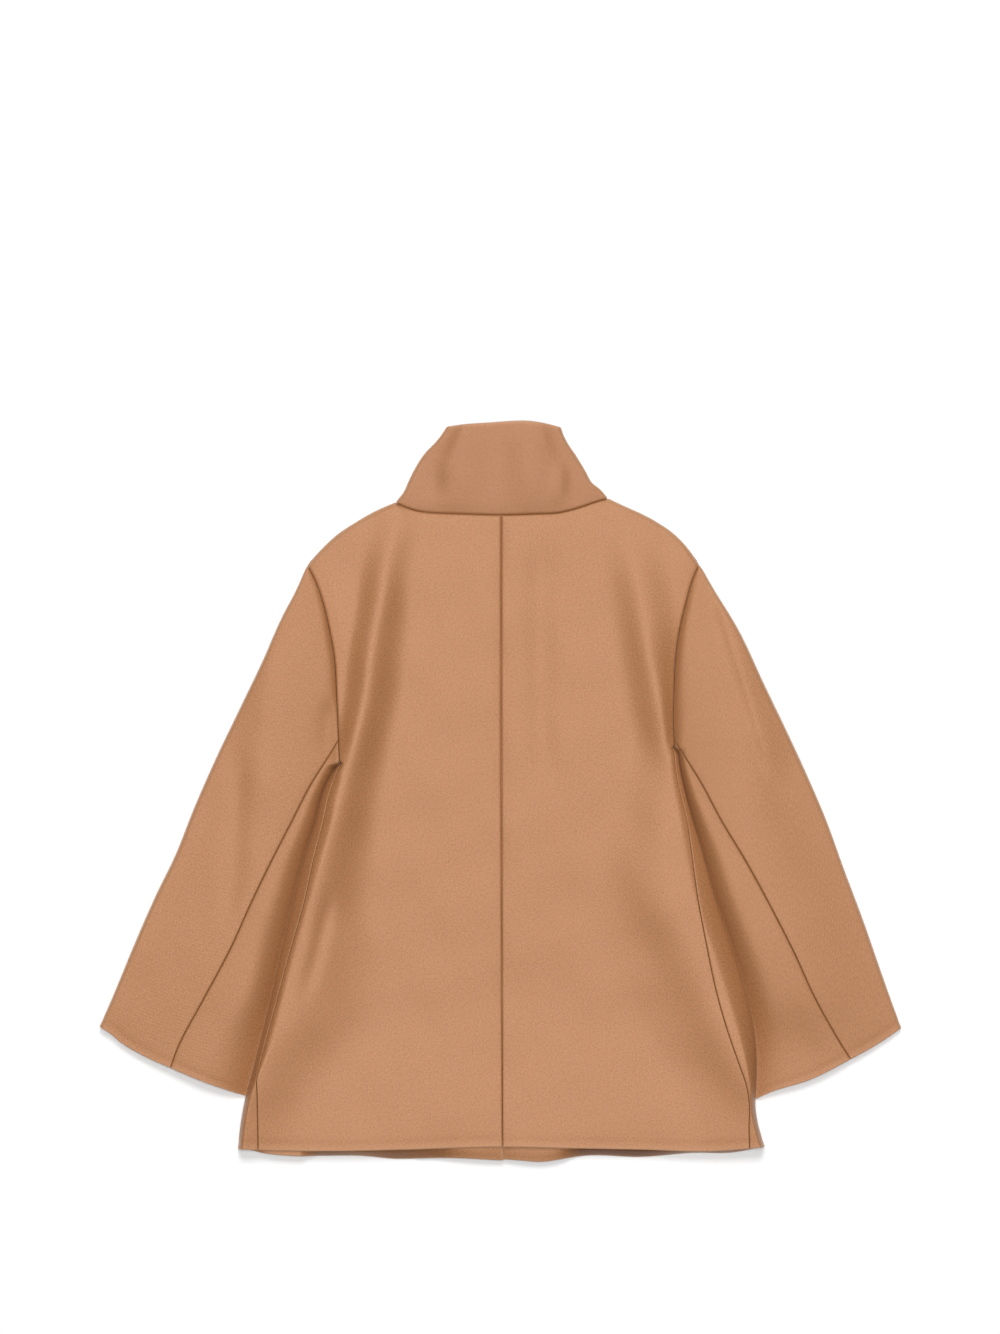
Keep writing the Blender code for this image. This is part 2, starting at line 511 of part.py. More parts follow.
def front_panel(side, collection):
    """One front: from the side seam round the rolled side, then flat under the back to its front edge."""
    half = Half(side)
    hem = FRONT_HEM[side]
    front_edge = -FRONT_EDGE_LEFT if side == LEFT else FRONT_EDGE_RIGHT
    neck_share = (half.tip_out - half.neck_out) / (half.tip_out - front_edge)
    inwards = np.linspace(0.0, 1.0, FRONT_NECK_COLUMNS[side] + 1)[1:]
    share = np.concatenate([neck_share * np.linspace(0.0, 1.0, SHOULDER_COLUMNS["front"] + 1),
                            neck_share + (1 - neck_share) * inwards])
    strip_share = np.linspace(0.0, 1.0, STRIP_COLUMNS - 1)[:-1]
    inset = np.arange(1, SHOULDER_COLUMNS["front"])
    slope_out = half.sleeve_out - SLEEVE_CLEAR - UNDER_SLOPE * (inset - 1) / (len(inset) - 1)
    skirt_out = half.start + (front_edge - half.start) * share
    skirt_out[:, inset] = np.minimum(half.start - FOLD_STEP * inset, slope_out)
    yoke_out = half.armhole(0.0) + (front_edge - half.armhole(0.0)) * share
    top_out = half.tip_out + (front_edge - half.tip_out) * share
    seam = half.seam + SEAM_GAP / 2
    flat_end = np.maximum(half.start, seam + NEAR_SEAM)
    distance = np.concatenate([seam, flat_end + (half.end - flat_end) * strip_share], axis=1)

    def face(depth):
        out = np.where(half.on_yoke, yoke_out + half.armhole_inset(depth, top_out), skirt_out)
        drop = half.drop_at(top_out, FRONT_NECK_DIP, bend(out, hem["out"], hem["drop"]), depth)
        height = body_under(side, out, drop) + front_stand(half, out, drop) + depth
        height = half.shoulder_round(height, (BODY_TOP - SEAM_GAP) / 2, top_out)
        flat = placed(side, out, drop, height)
        strip_out = half.out_at(distance, depth)
        strip_drop = half.drop_at(half.tip_out, 0.0, back_hem(side * strip_out), depth)
        strip = placed(side, strip_out, strip_drop, half.height_at(distance, strip_out, strip_drop, depth))
        strip[half.on_yoke[:, 0]] = np.nan
        return np.concatenate([strip, flat], axis=1)

    cloth_piece("front_" + SIDE_NAMES[side], face, side == LEFT, collection)


def sleeve_plan(side, share, down):
    """Out and drop of a point at a share of the sleeve's width and length: the two folded edges
    joined by straight lines, bent near the ends to follow the armhole and the cuff."""
    across, along_it = share[..., None], down[..., None]
    outer = along(SLEEVE_OUTER[side], down)
    inner = along(SLEEVE_INNER[side], down)
    armhole_drop = along(ARMHOLE[side], share)[..., 1]
    armhole_out = bend(armhole_drop, ARMHOLE[side]["drop"], ARMHOLE[side]["out"]) + SEAM_GAP / 2
    armhole = np.stack([armhole_out, armhole_drop], axis=-1)
    cuff = along(CUFF[side], share)
    straight_top = along(SLEEVE_OUTER[side], 0.0) * (1 - across) + along(SLEEVE_INNER[side], 0.0) * across
    straight_cuff = along(SLEEVE_OUTER[side], 1.0) * (1 - across) + along(SLEEVE_INNER[side], 1.0) * across
    joined = outer * (1 - across) + inner * across
    return joined + (armhole - straight_top) * (1 - along_it) + (cuff - straight_cuff) * along_it


def meeting_share(side, down, drop_rows, out_rows):
    """Share of the sleeve's width at which each section meets a line of drops and outs."""
    share = np.linspace(0.0, 1.0, SEAM_SEARCH)
    out, drop = np.moveaxis(sleeve_plan(side, *np.broadcast_arrays(share, down)), -1, 0)
    before = bend(drop, drop_rows, out_rows) - out
    return np.array([[np.interp(0.0, np.maximum.accumulate(row), share)] for row in before])


def sleeve_piece(side, outer_half, collection):
    """One sleeve piece: from the back seam on top, round one folded edge, to the front seam beneath."""
    name = "top_sleeve_" if outer_half else "under_sleeve_"
    inwards = -1.0 if outer_half else 1.0
    down = np.array(SLEEVE_ROWS)[:, None]
    width = np.linalg.norm(along(SLEEVE_OUTER[side], down) - along(SLEEVE_INNER[side], down), axis=-1)
    seam = SLEEVE_SEAM[side]
    back = meeting_share(side, down, seam["drop"], seam["out"]) + inwards * SEAM_GAP / 2 / width
    front = bend(down, HIDDEN_SEAM["along"], HIDDEN_SEAM["share"]) + inwards * SEAM_GAP / 2 / width
    start = FOLD_ROLL / width if outer_half else 1 - FOLD_ROLL / width
    if outer_half:
        on_top = back + (start - back) * np.linspace(0.0, 1.0, TOP_SLEEVE_COLUMNS)
    else:
        body_edge = SIDE[side]["edge"] + BANK_CLEAR
        beside = meeting_share(side, down, SIDE[side]["drop"], body_edge)
        middle = (back + start) / 2
        beside = np.clip(beside, middle, np.maximum(middle, start - FOLD_ROLL / width))
        down_bank = 1 - np.linspace(1.0, 0.0, UNDER_SLEEVE_COLUMNS) ** BANK_CROWDING
        tucked = np.linspace(0.0, 1.0, TUCKED_COLUMNS + 1)[1:]
        on_top = [back + (beside - back) * down_bank, beside + (start - beside) * tucked]
        on_top = np.concatenate(on_top, axis=1)
    count = on_top.shape[1]
    beneath = start + (front - start) * np.linspace(0.0, 1.0, UNDER_SLEEVE_COLUMNS)
    turn = np.linspace(0.0, np.pi, ROUND_COLUMNS)[1:-1]

    def face(depth):
        rounded = start + inwards * (FOLD_ROLL - depth) / width * np.sin(turn)
        share = np.concatenate([on_top, rounded, beneath], axis=1)
        out, drop = np.moveaxis(sleeve_plan(side, share, np.broadcast_to(down, share.shape)), -1, 0)
        top = sleeve_top(side, out, drop)
        half = top[:, count - 1, None] / 2
        rolled = half + (half - depth) * np.cos(turn)
        height = np.concatenate([top[:, :count] - depth, rolled, np.full_like(beneath, depth)], axis=1)
        return placed(side, out, drop, height)

    cloth_piece(name + SIDE_NAMES[side], face, (side == LEFT) == outer_half, collection)


def collar_plan(share, up, dip):
    """X and drop of a point of the collar at a share of its width and height: its two folded edges
    joined straight, bent to follow the neck seam and the top edge, and lower by the dip in front."""
    left = along(COLLAR_SIDE[LEFT], up) * np.array([LEFT, 1.0])
    right = along(COLLAR_SIDE[RIGHT], up) * np.array([RIGHT, 1.0])
    across = share[..., None]
    x, drop = np.moveaxis(left * (1 - across) + right * across, -1, 0)
    seam_x, seam_drop = np.moveaxis(left[:1] * (1 - across) + right[:1] * across, -1, 0)
    top_x, top_drop = np.moveaxis(left[-1:] * (1 - across) + right[-1:] * across, -1, 0)
    seam_bend = neck_drop(seam_x, 0.0) - SEAM_GAP / 2 - seam_drop
    top_bend = bend(top_x, COLLAR_TOP["x"], COLLAR_TOP["drop"]) - top_drop
    hollow = dip * np.clip(1 - (2 * share - 1) ** 2, 0.0, 1.0)
    return x, drop + seam_bend * (1 - up) + top_bend * up + hollow


def collar(collection):
    """Funnel collar: one band from its end under the left half round both folded edges to its other end."""
    up = np.linspace(0.0, 1.0, COLLAR_ROWS)[:, None]
    left = along(COLLAR_SIDE[LEFT], up)[..., 0]
    width = left + along(COLLAR_SIDE[RIGHT], up)[..., 0]
    roll = FOLD_ROLL / width
    left_end = (left + FRONT_EDGE_LEFT) / width
    right_end_x = FRONT_EDGE_RIGHT + (COLLAR_END_TOP - FRONT_EDGE_RIGHT) * up
    right_end = (left + right_end_x) / width
    left_part = np.linspace(1.0, 0.0, FRONT_NECK_COLUMNS[LEFT] + 1)[:-1]
    right_part = np.linspace(0.0, 1.0, FRONT_NECK_COLUMNS[RIGHT] + 1)[1:]
    neck = np.linspace(0.0, 1.0, NECK_COLUMNS + 1)
    middle = (left[0] + CENTRE_SEAM_TOP) / width[0]
    back = np.concatenate([middle * neck[1:], middle + (1 - middle) * neck[1:-1]])
    turn = np.linspace(0.0, np.pi, ROUND_COLUMNS)[1:-1]
    ones = np.ones_like(up)
    counts = [len(left_part) + 1, len(back) + 2 * len(turn) + 2, len(right_part) + 1]
    dip = FRONT_NECK_DIP * np.repeat([1, 0, 1], counts)
    half = BODY_TOP / 2

    def face(depth):
        bulge = (FOLD_ROLL - depth) / width * np.sin(turn)
        share = np.concatenate([left_end * left_part, roll, roll - bulge, roll, ones * back, 1 - roll,
                                1 - roll + bulge, 1 - roll, 1 - (1 - right_end) * right_part], axis=1)
        x, drop = collar_plan(share, np.broadcast_to(up, share.shape), dip)
        over = OVERLAP_LIFT * over_end(x[:, :counts[0]], right_end_x) + depth
        rising = np.broadcast_to(half - (half - depth) * np.cos(turn), (COLLAR_ROWS, len(turn)))
        top = np.full((COLLAR_ROWS, len(back) + 2), BODY_TOP - depth)
        beneath = np.full((COLLAR_ROWS, counts[2]), depth)
        height = np.concatenate([over, rising, top, rising[:, ::-1], beneath], axis=1)
        return np.stack([x, NAPE_Y - drop, height], axis=-1)

    cloth_piece("collar", face, True, collection)


for existing in list(bpy.data.objects):
    bpy.data.objects.remove(existing, do_unlink=True)

cape = bpy.data.collections.new("wool_cape")
bpy.context.scene.collection.children.link(cape)
collar(cape)
for side in (LEFT, RIGHT):
    back_panel(side, cape)
    front_panel(side, cape)
    sleeve_piece(side, True, cape)
    sleeve_piece(side, False, cape)
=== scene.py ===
# Wool cape jacket laid flat on a white table, back side up, seen from straight above.
# Lengths in the tables are millimetres. "drop" is measured down from the nape, where the
# centre-back seam meets the collar, and "out" sideways from the middle of the body.

import bpy
import numpy as np
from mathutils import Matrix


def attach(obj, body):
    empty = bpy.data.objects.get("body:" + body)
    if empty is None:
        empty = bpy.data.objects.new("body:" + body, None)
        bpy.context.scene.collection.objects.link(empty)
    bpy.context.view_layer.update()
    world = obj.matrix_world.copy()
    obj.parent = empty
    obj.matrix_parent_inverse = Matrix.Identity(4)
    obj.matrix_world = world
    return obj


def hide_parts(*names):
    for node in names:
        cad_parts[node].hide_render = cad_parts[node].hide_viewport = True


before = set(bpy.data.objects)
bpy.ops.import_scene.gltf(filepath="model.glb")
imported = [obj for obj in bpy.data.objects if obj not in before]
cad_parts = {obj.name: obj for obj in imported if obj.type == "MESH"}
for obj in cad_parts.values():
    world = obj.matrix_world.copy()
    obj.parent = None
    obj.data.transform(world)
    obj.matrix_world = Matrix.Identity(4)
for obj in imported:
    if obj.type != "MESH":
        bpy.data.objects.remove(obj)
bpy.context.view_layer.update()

# Camera. The photo is a flat lay taken from far above with a long lens. Its picture is 1000 by
# 1334 pixels of 1.05 mm on the table, and the nape lies a little above its middle.
PIXEL = 0.00105
PHOTO_SIZE = (1000, 1334)
NAPE_PIXEL_Y = 515.3
NAPE_Y = 0.2895
CAMERA_HEIGHT = 8.0
CAMERA_X = -0.0008

camera = bpy.data.objects.new("camera", bpy.data.cameras.new("camera"))
bpy.context.scene.collection.objects.link(camera)
camera.data.lens = camera.data.sensor_width * CAMERA_HEIGHT / (PHOTO_SIZE[1] * PIXEL)
camera.location = (CAMERA_X, NAPE_Y + (NAPE_PIXEL_Y - PHOTO_SIZE[1] / 2) * PIXEL, CAMERA_HEIGHT)
bpy.context.scene.camera = camera


# Back panels. Two panels of brushed camel coating meet in a plain centre-back seam. Each one
# rises in soft folds from the shoulder to the armhole's foot, is lifted by the sleeve that lies
# under it, rolls over at the side, and ends in a turned hem.
MM = 0.001
LEFT, RIGHT = -1, 1
SIDE_NAMES = {LEFT: "left", RIGHT: "right"}
CLOTH = 1.8
SEAM_GAP = 0.3
BODY_TOP = 7.4
BODY_LIFT = 4.8
LIFT_RUN = 7.0
LIFT_END_RUN = 42.0
SLEEVE_CLEAR = 9.0
UNDER_SLOPE = 13.0
OVERLAP_LIFT = 2.6
OVERLAP_CLEAR = 12.0
OVERLAP_RUN = 10.0
HEM_STAND = 8.5
HEM_STAND_RUN = 160.0
EDGE_STAND = 2.4
SHOULDER_ROLL = 5.0
NECK_BLEND = 10.0
FRONT_EDGE_RIGHT = -72.0
CENTRE_SEAM_TOP, CENTRE_SEAM_HEM = 0.5, 1.8
SEAM_ROUND = 1.2
SEAM_CLEAR = 9 * SEAM_ROUND
HEM_SHARPNESS = 1.1
SEAM_DIP, SEAM_DIP_WIDTH = 0.5, 1.4
SEAM_PULL, SEAM_PULL_WIDTH = 0.65, 7.5
SIDE_SEAM_PULL = 0.15
CENTRE_SEAM_EASE = 0.5
THINNEST_EDGE = 0.25
HEM_DIP, HEM_DEPTH, HEM_DIP_WIDTH = 0.3, 7.0, 3.2
# Painted highlight: widths of the pale rim painted along hems and folded edges, and how far the
# neck seam is kept clear of it
HEM_HIGHLIGHT_WIDTH = 1.1
RIM_HIGHLIGHT_WIDTH = 2.2
NECK_CLEAR_OF_HIGHLIGHT = 60.0
GRID_STEP = 2.6
EDGE_STATIONS = (0.0, 0.35, 0.8, 1.4, 2.2, 3.4)
ROLL_ROWS = 9
ROLL_POWER = 1.35
CLIMB_POWER = 1.35


def table(columns, *rows):
    """Named columns, one array each, from rows of numbers."""
    return dict(zip(columns.split(), np.array(rows, dtype=float).T))


NECK_SEAM = table(
    "x drop",
    (-111.3, -13.6), (-104, -10), (-96.6, -6.9), (-87, -4.2), (-77.7, -2.7), (-62, -1.7),
    (-46.2, -1.2), (0, 0), (34.7, -1), (62, -2.6), (83, -7.9), (98.7, -13.3), (113.4, -17.6))
SHOULDER = {
    LEFT: table(
        "out drop",
        (111.3, -13.6), (135.5, -2.6), (153.3, 7.9), (172.2, 20.5), (188, 35.2), (203.2, 52)),
    RIGHT: table(
        "out drop",
        (113.4, -17.6), (129.2, -10), (148, -1.6), (167, 8.9), (181.7, 19.4), (194.3, 32),
        (208.4, 51)),
}
ARMHOLE = {
    LEFT: table(
        "drop out",
        (52, 203.2), (67.7, 194.9), (91.9, 186.3), (122.3, 179.2), (150.7, 174.3), (187.4, 172.2),
        (235.7, 170.1), (260, 169.1)),
    RIGHT: table(
        "drop out",
        (51, 208.4), (67.7, 201.2), (91.9, 194.2), (122.3, 187.1), (150.7, 183.3), (187.4, 181.7),
        (225, 181.5), (244, 182.4)),
}
# Rolled sides: "edge" is the outermost line, "roll" the width of the round, and "seam" how far
# the side seam lies inside the edge
SIDE = {
    LEFT: table(
        "drop edge roll seam",
        (260, 169.1, 4, 2), (263, 171.9, 6, 2.6), (268, 175.4, 8, 3.5), (278, 181, 13, 5.5),
        (293, 187, 15, 6.5), (320, 194, 17, 7.5), (362, 207, 18, 10), (404, 217.5, 17, 11.5),
        (456, 230, 14, 9), (509, 242, 11.5, 6.5), (561, 255, 10, 5.5), (590, 262.5, 7, 7),
        (610.6, 268, 5.5, 13), (638, 273, 5, 18.5), (664, 276.2, 5, 22)),
    RIGHT: table(
        "drop edge roll seam",
        (244, 182.4, 4, 2.5), (247, 184.5, 6, 2.8), (252, 186.2, 7, 3.5), (262, 187.5, 9, 4),
        (288, 192.8, 11, 4.8), (320, 201.5, 13, 5.5), (341.8, 208, 16.5, 9), (400.6, 224.7, 21, 18),
        (452, 241.6, 21, 25.5), (504.5, 257.5, 20, 30), (539.2, 265.5, 17, 28),
        (571.7, 268.5, 12, 20), (599, 268, 7, 10.5), (620, 267, 5.5, 6.5), (640, 270, 5, 10),
        (664, 277.2, 5, 16.5)),
}
# The sleeve's inner folded edge, hidden under the body, which decides where the body is lifted
SLEEVE_INNER = {
    LEFT: table(
        "drop out",
        (259.4, 169.5), (264, 170.9), (268.5, 172), (282, 173.2), (293, 174.2), (315, 177),
        (338.6, 180.5), (390, 187), (435, 191.5), (480, 200), (524.5, 211.5), (566.5, 223.5),
        (617, 238)),
    RIGHT: table(
        "drop out",
        (243.6, 182.8), (248, 183.7), (252.5, 184.4), (262, 185.4), (275, 186.3), (288, 187.2),
        (300, 187.9), (320, 189.5), (341.8, 192), (400.6, 200), (452, 211), (504.5, 222),
        (539.2, 229.5), (571.7, 234), (619.5, 238)),
}
BACK_HEM = table(
    "x drop",
    (-276.2, 664.9), (-201.6, 666.8), (-89, 664.9), (0, 662.3), (73, 663.8), (145, 665.2),
    (222.6, 666.8), (277.2, 662.5))
# The back lies low in the middle. From "foot" it climbs by "rise" to a long crest beside each
# sleeve, and above the armhole's foot it falls again beyond the crest.
BACK_LIFT = {
    LEFT: table(
        "drop foot crest rise fall fall_run",
        (-20, 72, 107, 0, 0, 30), (15, 78, 112, 2, 2.2, 30), (47, 84, 119, 4.8, 5, 29),
        (89, 88, 126, 8.2, 7, 28), (141, 91, 135.5, 11.2, 7.6, 26), (194, 97, 143, 12.8, 7.8, 24),
        (236, 106, 153, 13, 6.5, 20), (278, 112, 165, 13.6, 0, 20), (320, 117, 177, 14.6, 0, 20),
        (362, 120, 189, 15.4, 0, 20), (404, 121, 199.5, 14.4, 0, 20), (456, 106, 211, 13.4, 0, 20),
        (509, 98, 226, 13.4, 0, 20), (561, 128, 258, 13.6, 0, 20), (598, 160, 274, 12, 0, 20),
        (630, 188, 284, 8, 0, 20), (665, 204, 290, 5.5, 0, 20)),
    RIGHT: table(
        "drop foot crest rise fall fall_run",
        (-20, 82, 130, 0, 0, 40), (15, 90, 135, 1.2, 1.5, 40), (47, 96, 140, 3.2, 3.2, 40),
        (89, 103, 147, 5.8, 4.8, 38), (141, 114, 155.4, 8.4, 6.8, 32),
        (194, 122, 166, 8.2, 6.6, 20), (236, 128, 172, 7.4, 5.2, 14), (278, 116, 180, 6, 0, 14),
        (320, 94, 178, 7, 0, 14), (362, 80, 174, 8.6, 0, 14), (404, 84, 186, 10.4, 0, 14),
        (456, 101, 208, 12.2, 0, 14), (509, 116, 230, 13.4, 0, 14), (561, 140, 256, 13.2, 0, 14),
        (598, 168, 276, 12.5, 0, 14), (630, 180, 284, 9, 0, 14), (665, 190, 290, 6.5, 0, 14)),
}
# Lesser folds: a bend through top, middle and bottom, how long it takes to fade at each end, how
# far it spreads to the viewer's left and right of that line, and its height, or depth if below 0
BODY_FOLDS = table(
    "top bottom fade x_top x_middle x_bottom left right height",
    (380, 520, 50, -176, -190, -210, 9, 8, -1.7),
    (5, 300, 70, 40, 42, 46, 15, 15, -1.7),
    (20, 300, 80, -45, -50, -60, 22, 22, -0.5))
# Slow unevenness of cloth that was smoothed by hand
WAVES = table(
    "length angle phase height",
    (148, 25, 0.4, 0.35), (96, 118, 2.1, 0.25), (67, 71, 4, 0.16), (49, 152, 1.2, 0.11))


def smoothstep(share):
    """Zero below 0, one above 1, with a soft S between."""
    t = np.clip(share, 0.0, 1.0)
    return t * t * (3.0 - 2.0 * t)


def bend(at, where, value):
    """Smooth curve through a table's points: a cubic on each stretch, with the mean slope at each
    row."""
    at = np.asarray(at, dtype=float)
    slope = np.gradient(value, where)
    i = np.clip(np.searchsorted(where, at) - 1, 0, len(where) - 2)
    step = where[i + 1] - where[i]
    t = np.clip((at - where[i]) / step, 0.0, 1.0)
    start = value[i] * (1 + 2 * t) * (1 - t) ** 2 + slope[i] * step * t * (1 - t) ** 2
    end = value[i + 1] * t * t * (3 - 2 * t) - slope[i + 1] * step * t * t * (1 - t)
    return start + end


def read(rows, name, at, by="drop"):
    """One column of a table where another, by which it goes, has the given values."""
    return bend(at, rows[by], rows[name])


def folds(rows, x, drop):
    """Sum of the folds at each point: a bell across each line, narrower or wider on each side of
    it, that fades out at both ends."""
    height = np.zeros(np.broadcast(x, drop).shape)
    for top, bottom, fade, x_top, x_middle, x_bottom, left, right, rise in zip(*rows.values()):
        t = (drop - top) / (bottom - top)
        line = (x_top * (1 - t) * (1 - 2 * t) + x_middle * 4 * t * (1 - t)
                + x_bottom * t * (2 * t - 1))
        strength = smoothstep((drop - top) / fade) * smoothstep((bottom - drop) / fade)
        spread = np.where(x < line, left, right)
        height += rise * strength * np.exp(-((x - line) / spread) ** 2)
    return height


def unevenness(x, drop):
    """Sum of a few long shallow sine waves that cross the cloth at different angles."""
    height = 0.0
    for length, angle, phase, rise in zip(*WAVES.values()):
        turn = np.radians(angle)
        across = x * np.cos(turn) + drop * np.sin(turn)
        height = height + rise * np.sin(2 * np.pi * across / length + phase)
    return height


def stations(length, step, crowd_start=True, crowd_end=True):
    """Shares of a length from 0 to 1: even steps, with a few close ones at an end that is a seam
    or hem."""
    close = np.array(EDGE_STATIONS)
    start = close if crowd_start else close[:1]
    end = length - (close if crowd_end else close[:1])[::-1]
    count = max(2, int(round((end[0] - start[-1]) / step)) + 1)
    return np.concatenate([start, np.linspace(start[-1], end[0], count)[1:-1], end]) / length


def lift(side, drop):
    """How far the front is raised by the sleeve under it, from the armhole to past the cuff."""
    inner = SLEEVE_INNER[side]["drop"]
    up = smoothstep((drop - inner[0]) / LIFT_RUN)
    down = smoothstep((drop - inner[-1] - SLEEVE_CLEAR) / LIFT_END_RUN)
    return BODY_LIFT * up * (1 - down)


def past_sleeve(side, out, drop):
    """How far a point lies out past the hidden inner edge of the sleeve."""
    return out - read(SLEEVE_INNER[side], "out", drop)


def hem_stand(drop):
    """How far the back stands up towards its hem."""
    return HEM_STAND * smoothstep((drop - BACK_HEM["drop"].min()) / HEM_STAND_RUN + 1)


def body_top(side, out, drop):
    """Height of the back's outer face."""
    rows = BACK_LIFT[side]
    foot, crest, rise, fall, fall_run = (read(rows, name, drop)
                                         for name in ("foot", "crest", "rise", "fall", "fall_run"))
    risen = smoothstep(np.clip((out - foot) / (crest - foot), 0.0, 1.0) ** CLIMB_POWER)
    climb = rise * risen - fall * smoothstep((out - crest) / fall_run)
    uneven = folds(BODY_FOLDS, side * out, drop) + unevenness(side * out, drop)
    return BODY_TOP + climb + hem_stand(drop) + uneven


def over_end(x, end_x):
    """One over the lowest layer of the front or collar, zero clear of its end."""
    return smoothstep((x - end_x + OVERLAP_CLEAR) / OVERLAP_RUN + 1)


def body_under(side, out, drop):
    """Height of the fronts' outer face, which is down: on the table, or over what lies below it."""
    ramp = smoothstep((past_sleeve(side, out, drop) + SLEEVE_CLEAR + UNDER_SLOPE) / UNDER_SLOPE)
    overlap = OVERLAP_LIFT * over_end(side * out, FRONT_EDGE_RIGHT) if side == LEFT else 0.0
    return lift(side, drop) * ramp + overlap


def placed(side, out, drop, height):
    """Points from out, drop and height, in metres."""
    out, drop, height = np.broadcast_arrays(out, drop, height)
    return np.stack([side * out * MM, NAPE_Y - drop * MM, height * MM], axis=-1)


def neck_drop(x, dip):
    """Drop of the neck seam. The fronts' side of it dips below the back's in the middle."""
    left, right = NECK_SEAM["x"][0], NECK_SEAM["x"][-1]
    from_middle = (2 * x - left - right) / (right - left)
    hollow = dip * np.clip(1 - from_middle ** 2, 0.0, 1.0)
    return read(NECK_SEAM, "drop", x, by="x") + hollow


def back_hem(x):
    """Drop of the back's hem."""
    return read(BACK_HEM, "drop", x, by="x")


class Half:
    """The sections of one half of the body, a row each from the shoulder to the hem. Above the
    armhole's foot they end at the armhole. Below it the cloth runs on round the rolled side, and
    a "distance" is measured from the middle of the back, round the side and back beneath."""

    def __init__(self, side):
        self.side = side
        self.neck_out = SHOULDER[side]["out"][0]
        self.tip_out = SHOULDER[side]["out"][-1]
        self.tip_drop = SHOULDER[side]["drop"][-1]
        self.pit_drop = ARMHOLE[side]["drop"][-1]
        turn = np.linspace(0.0, np.pi / 2, ROLL_ROWS)
        yoke = stations(self.pit_drop, GRID_STEP, crowd_end=False)[1:]
        skirt = stations(back_hem(0.0) - self.pit_drop, GRID_STEP, crowd_start=False)[1:]
        below = np.ones(len(yoke) + len(skirt))
        self.turn = np.concatenate([turn, below * np.pi / 2])[:, None]
        self.to_pit = np.concatenate([np.zeros(ROLL_ROWS), yoke, np.ones(len(skirt))])[:, None]
        self.to_hem = np.concatenate([np.zeros(ROLL_ROWS + len(yoke)), skirt])[:, None]
        self.on_yoke = self.to_pit < 1.0
        drop = self.side_drop(0.0)
        edge, seam, self.roll = (read(SIDE[side], name, drop) for name in ("edge", "seam", "roll"))
        self.start = edge - self.roll
        top = body_top(side, self.start, drop)
        under = body_under(side, self.start, drop)
        self.edge_height = under + EDGE_STAND
        self.over_edge = top - self.edge_height
        half = (top - under) / 2
        length = np.pi * np.sqrt((self.roll ** 2 + half ** 2) / 2)
        self.end = self.start + length
        lean = np.arcsin(1 - np.clip(np.abs(seam) / self.roll, 0.0, 1.0))
        turned = np.where(seam >= 0, lean, np.pi - lean) / np.pi
        self.seam = np.where(seam > self.roll, edge - seam, self.start + length * turned)

    def side_drop(self, depth):
        """Drop of each row where it ends: at the armhole, then at the side."""
        drop = self.tip_drop + SHOULDER_ROLL - (SHOULDER_ROLL - depth) * np.cos(self.turn)
        drop = drop + (self.pit_drop - drop) * self.to_pit
        return drop + (SIDE[self.side]["drop"][-1] - drop) * self.to_hem

    def armhole(self, depth):
        """Out of the armhole's seam on each row."""
        return read(ARMHOLE[self.side], "out", self.side_drop(depth)) - SEAM_GAP / 2

    def armhole_inset(self, depth, top_out):
        """How far the armhole's curve moves at a depth below the rounded shoulder."""
        return (self.armhole(depth) - self.armhole(0.0)) * self.shoulder_share(top_out)

    def rolled(self, distance):
        """How far round the side each distance is, as shares of the roll's width and height.
        Powers of the two add up to one. Below the edge the power is 2, a plain ellipse. Above it
        the power is less, so that the cloth falls away sooner."""
        turn = np.pi * np.clip((distance - self.start) / (self.end - self.start), 0.0, 1.0)
        power = np.where(turn < np.pi / 2, ROLL_POWER, 2.0)
        wide = np.abs(np.sin(turn))
        return wide, np.sign(np.cos(turn)) * (1 - wide ** power) ** (1 / power)

    def out_at(self, distance, depth):
        """Out at each distance: flat along the back, round the side, flat back along the front."""
        wide, _ = self.rolled(distance)
        back = np.maximum(distance - self.end, 0.0)
        return np.minimum(distance, self.start) + (self.roll - depth) * wide - back

    def height_at(self, distance, out, drop, depth):
        """Height at each distance, of the back, of the rolled side or of the front."""
        _, high = self.rolled(distance)
        rolled = self.edge_height + (np.where(high > 0, self.over_edge, EDGE_STAND) - depth) * high
        top = body_top(self.side, out, drop) - depth
        under = body_under(self.side, out, drop) + depth
        return np.where(distance <= self.start, top, np.where(distance < self.end, rolled, under))

    def shoulder_share(self, out):
        """One on the shoulder, zero along the neck seam, soft between them."""
        return smoothstep((out - self.neck_out) / NECK_BLEND + 1)

    def drop_at(self, top_out, dip, hem, depth):
        """Drop of each point: rows follow the neck and shoulder at the top, run level with the
        armhole's foot, and follow the hem at the bottom."""
        shoulder = read(SHOULDER[self.side], "drop", top_out, by="out")
        neck = neck_drop(self.side * top_out, dip)
        top = np.where(top_out < self.neck_out, neck, shoulder) + SEAM_GAP / 2
        inset = depth * self.shoulder_share(top_out)
        top = top + SHOULDER_ROLL - (SHOULDER_ROLL - inset) * np.cos(self.turn)
        drop = top + (self.pit_drop - top) * self.to_pit
        return drop + (hem - drop) * self.to_hem

    def shoulder_round(self, height, middle, top_out):
        """Height rounded down, or up, to the shoulder seam halfway between the layers."""
        rounded = middle + (height - middle) * np.sin(self.turn)
        return height + (rounded - height) * self.shoulder_share(top_out)

    def from_top(self, drop, top_out):
        """Distance of each point from the neck seam. On the shoulder it starts clear of a seam, as
        the round there needs none of its own."""
        return drop - drop[:1] + self.shoulder_share(top_out) * SEAM_CLEAR


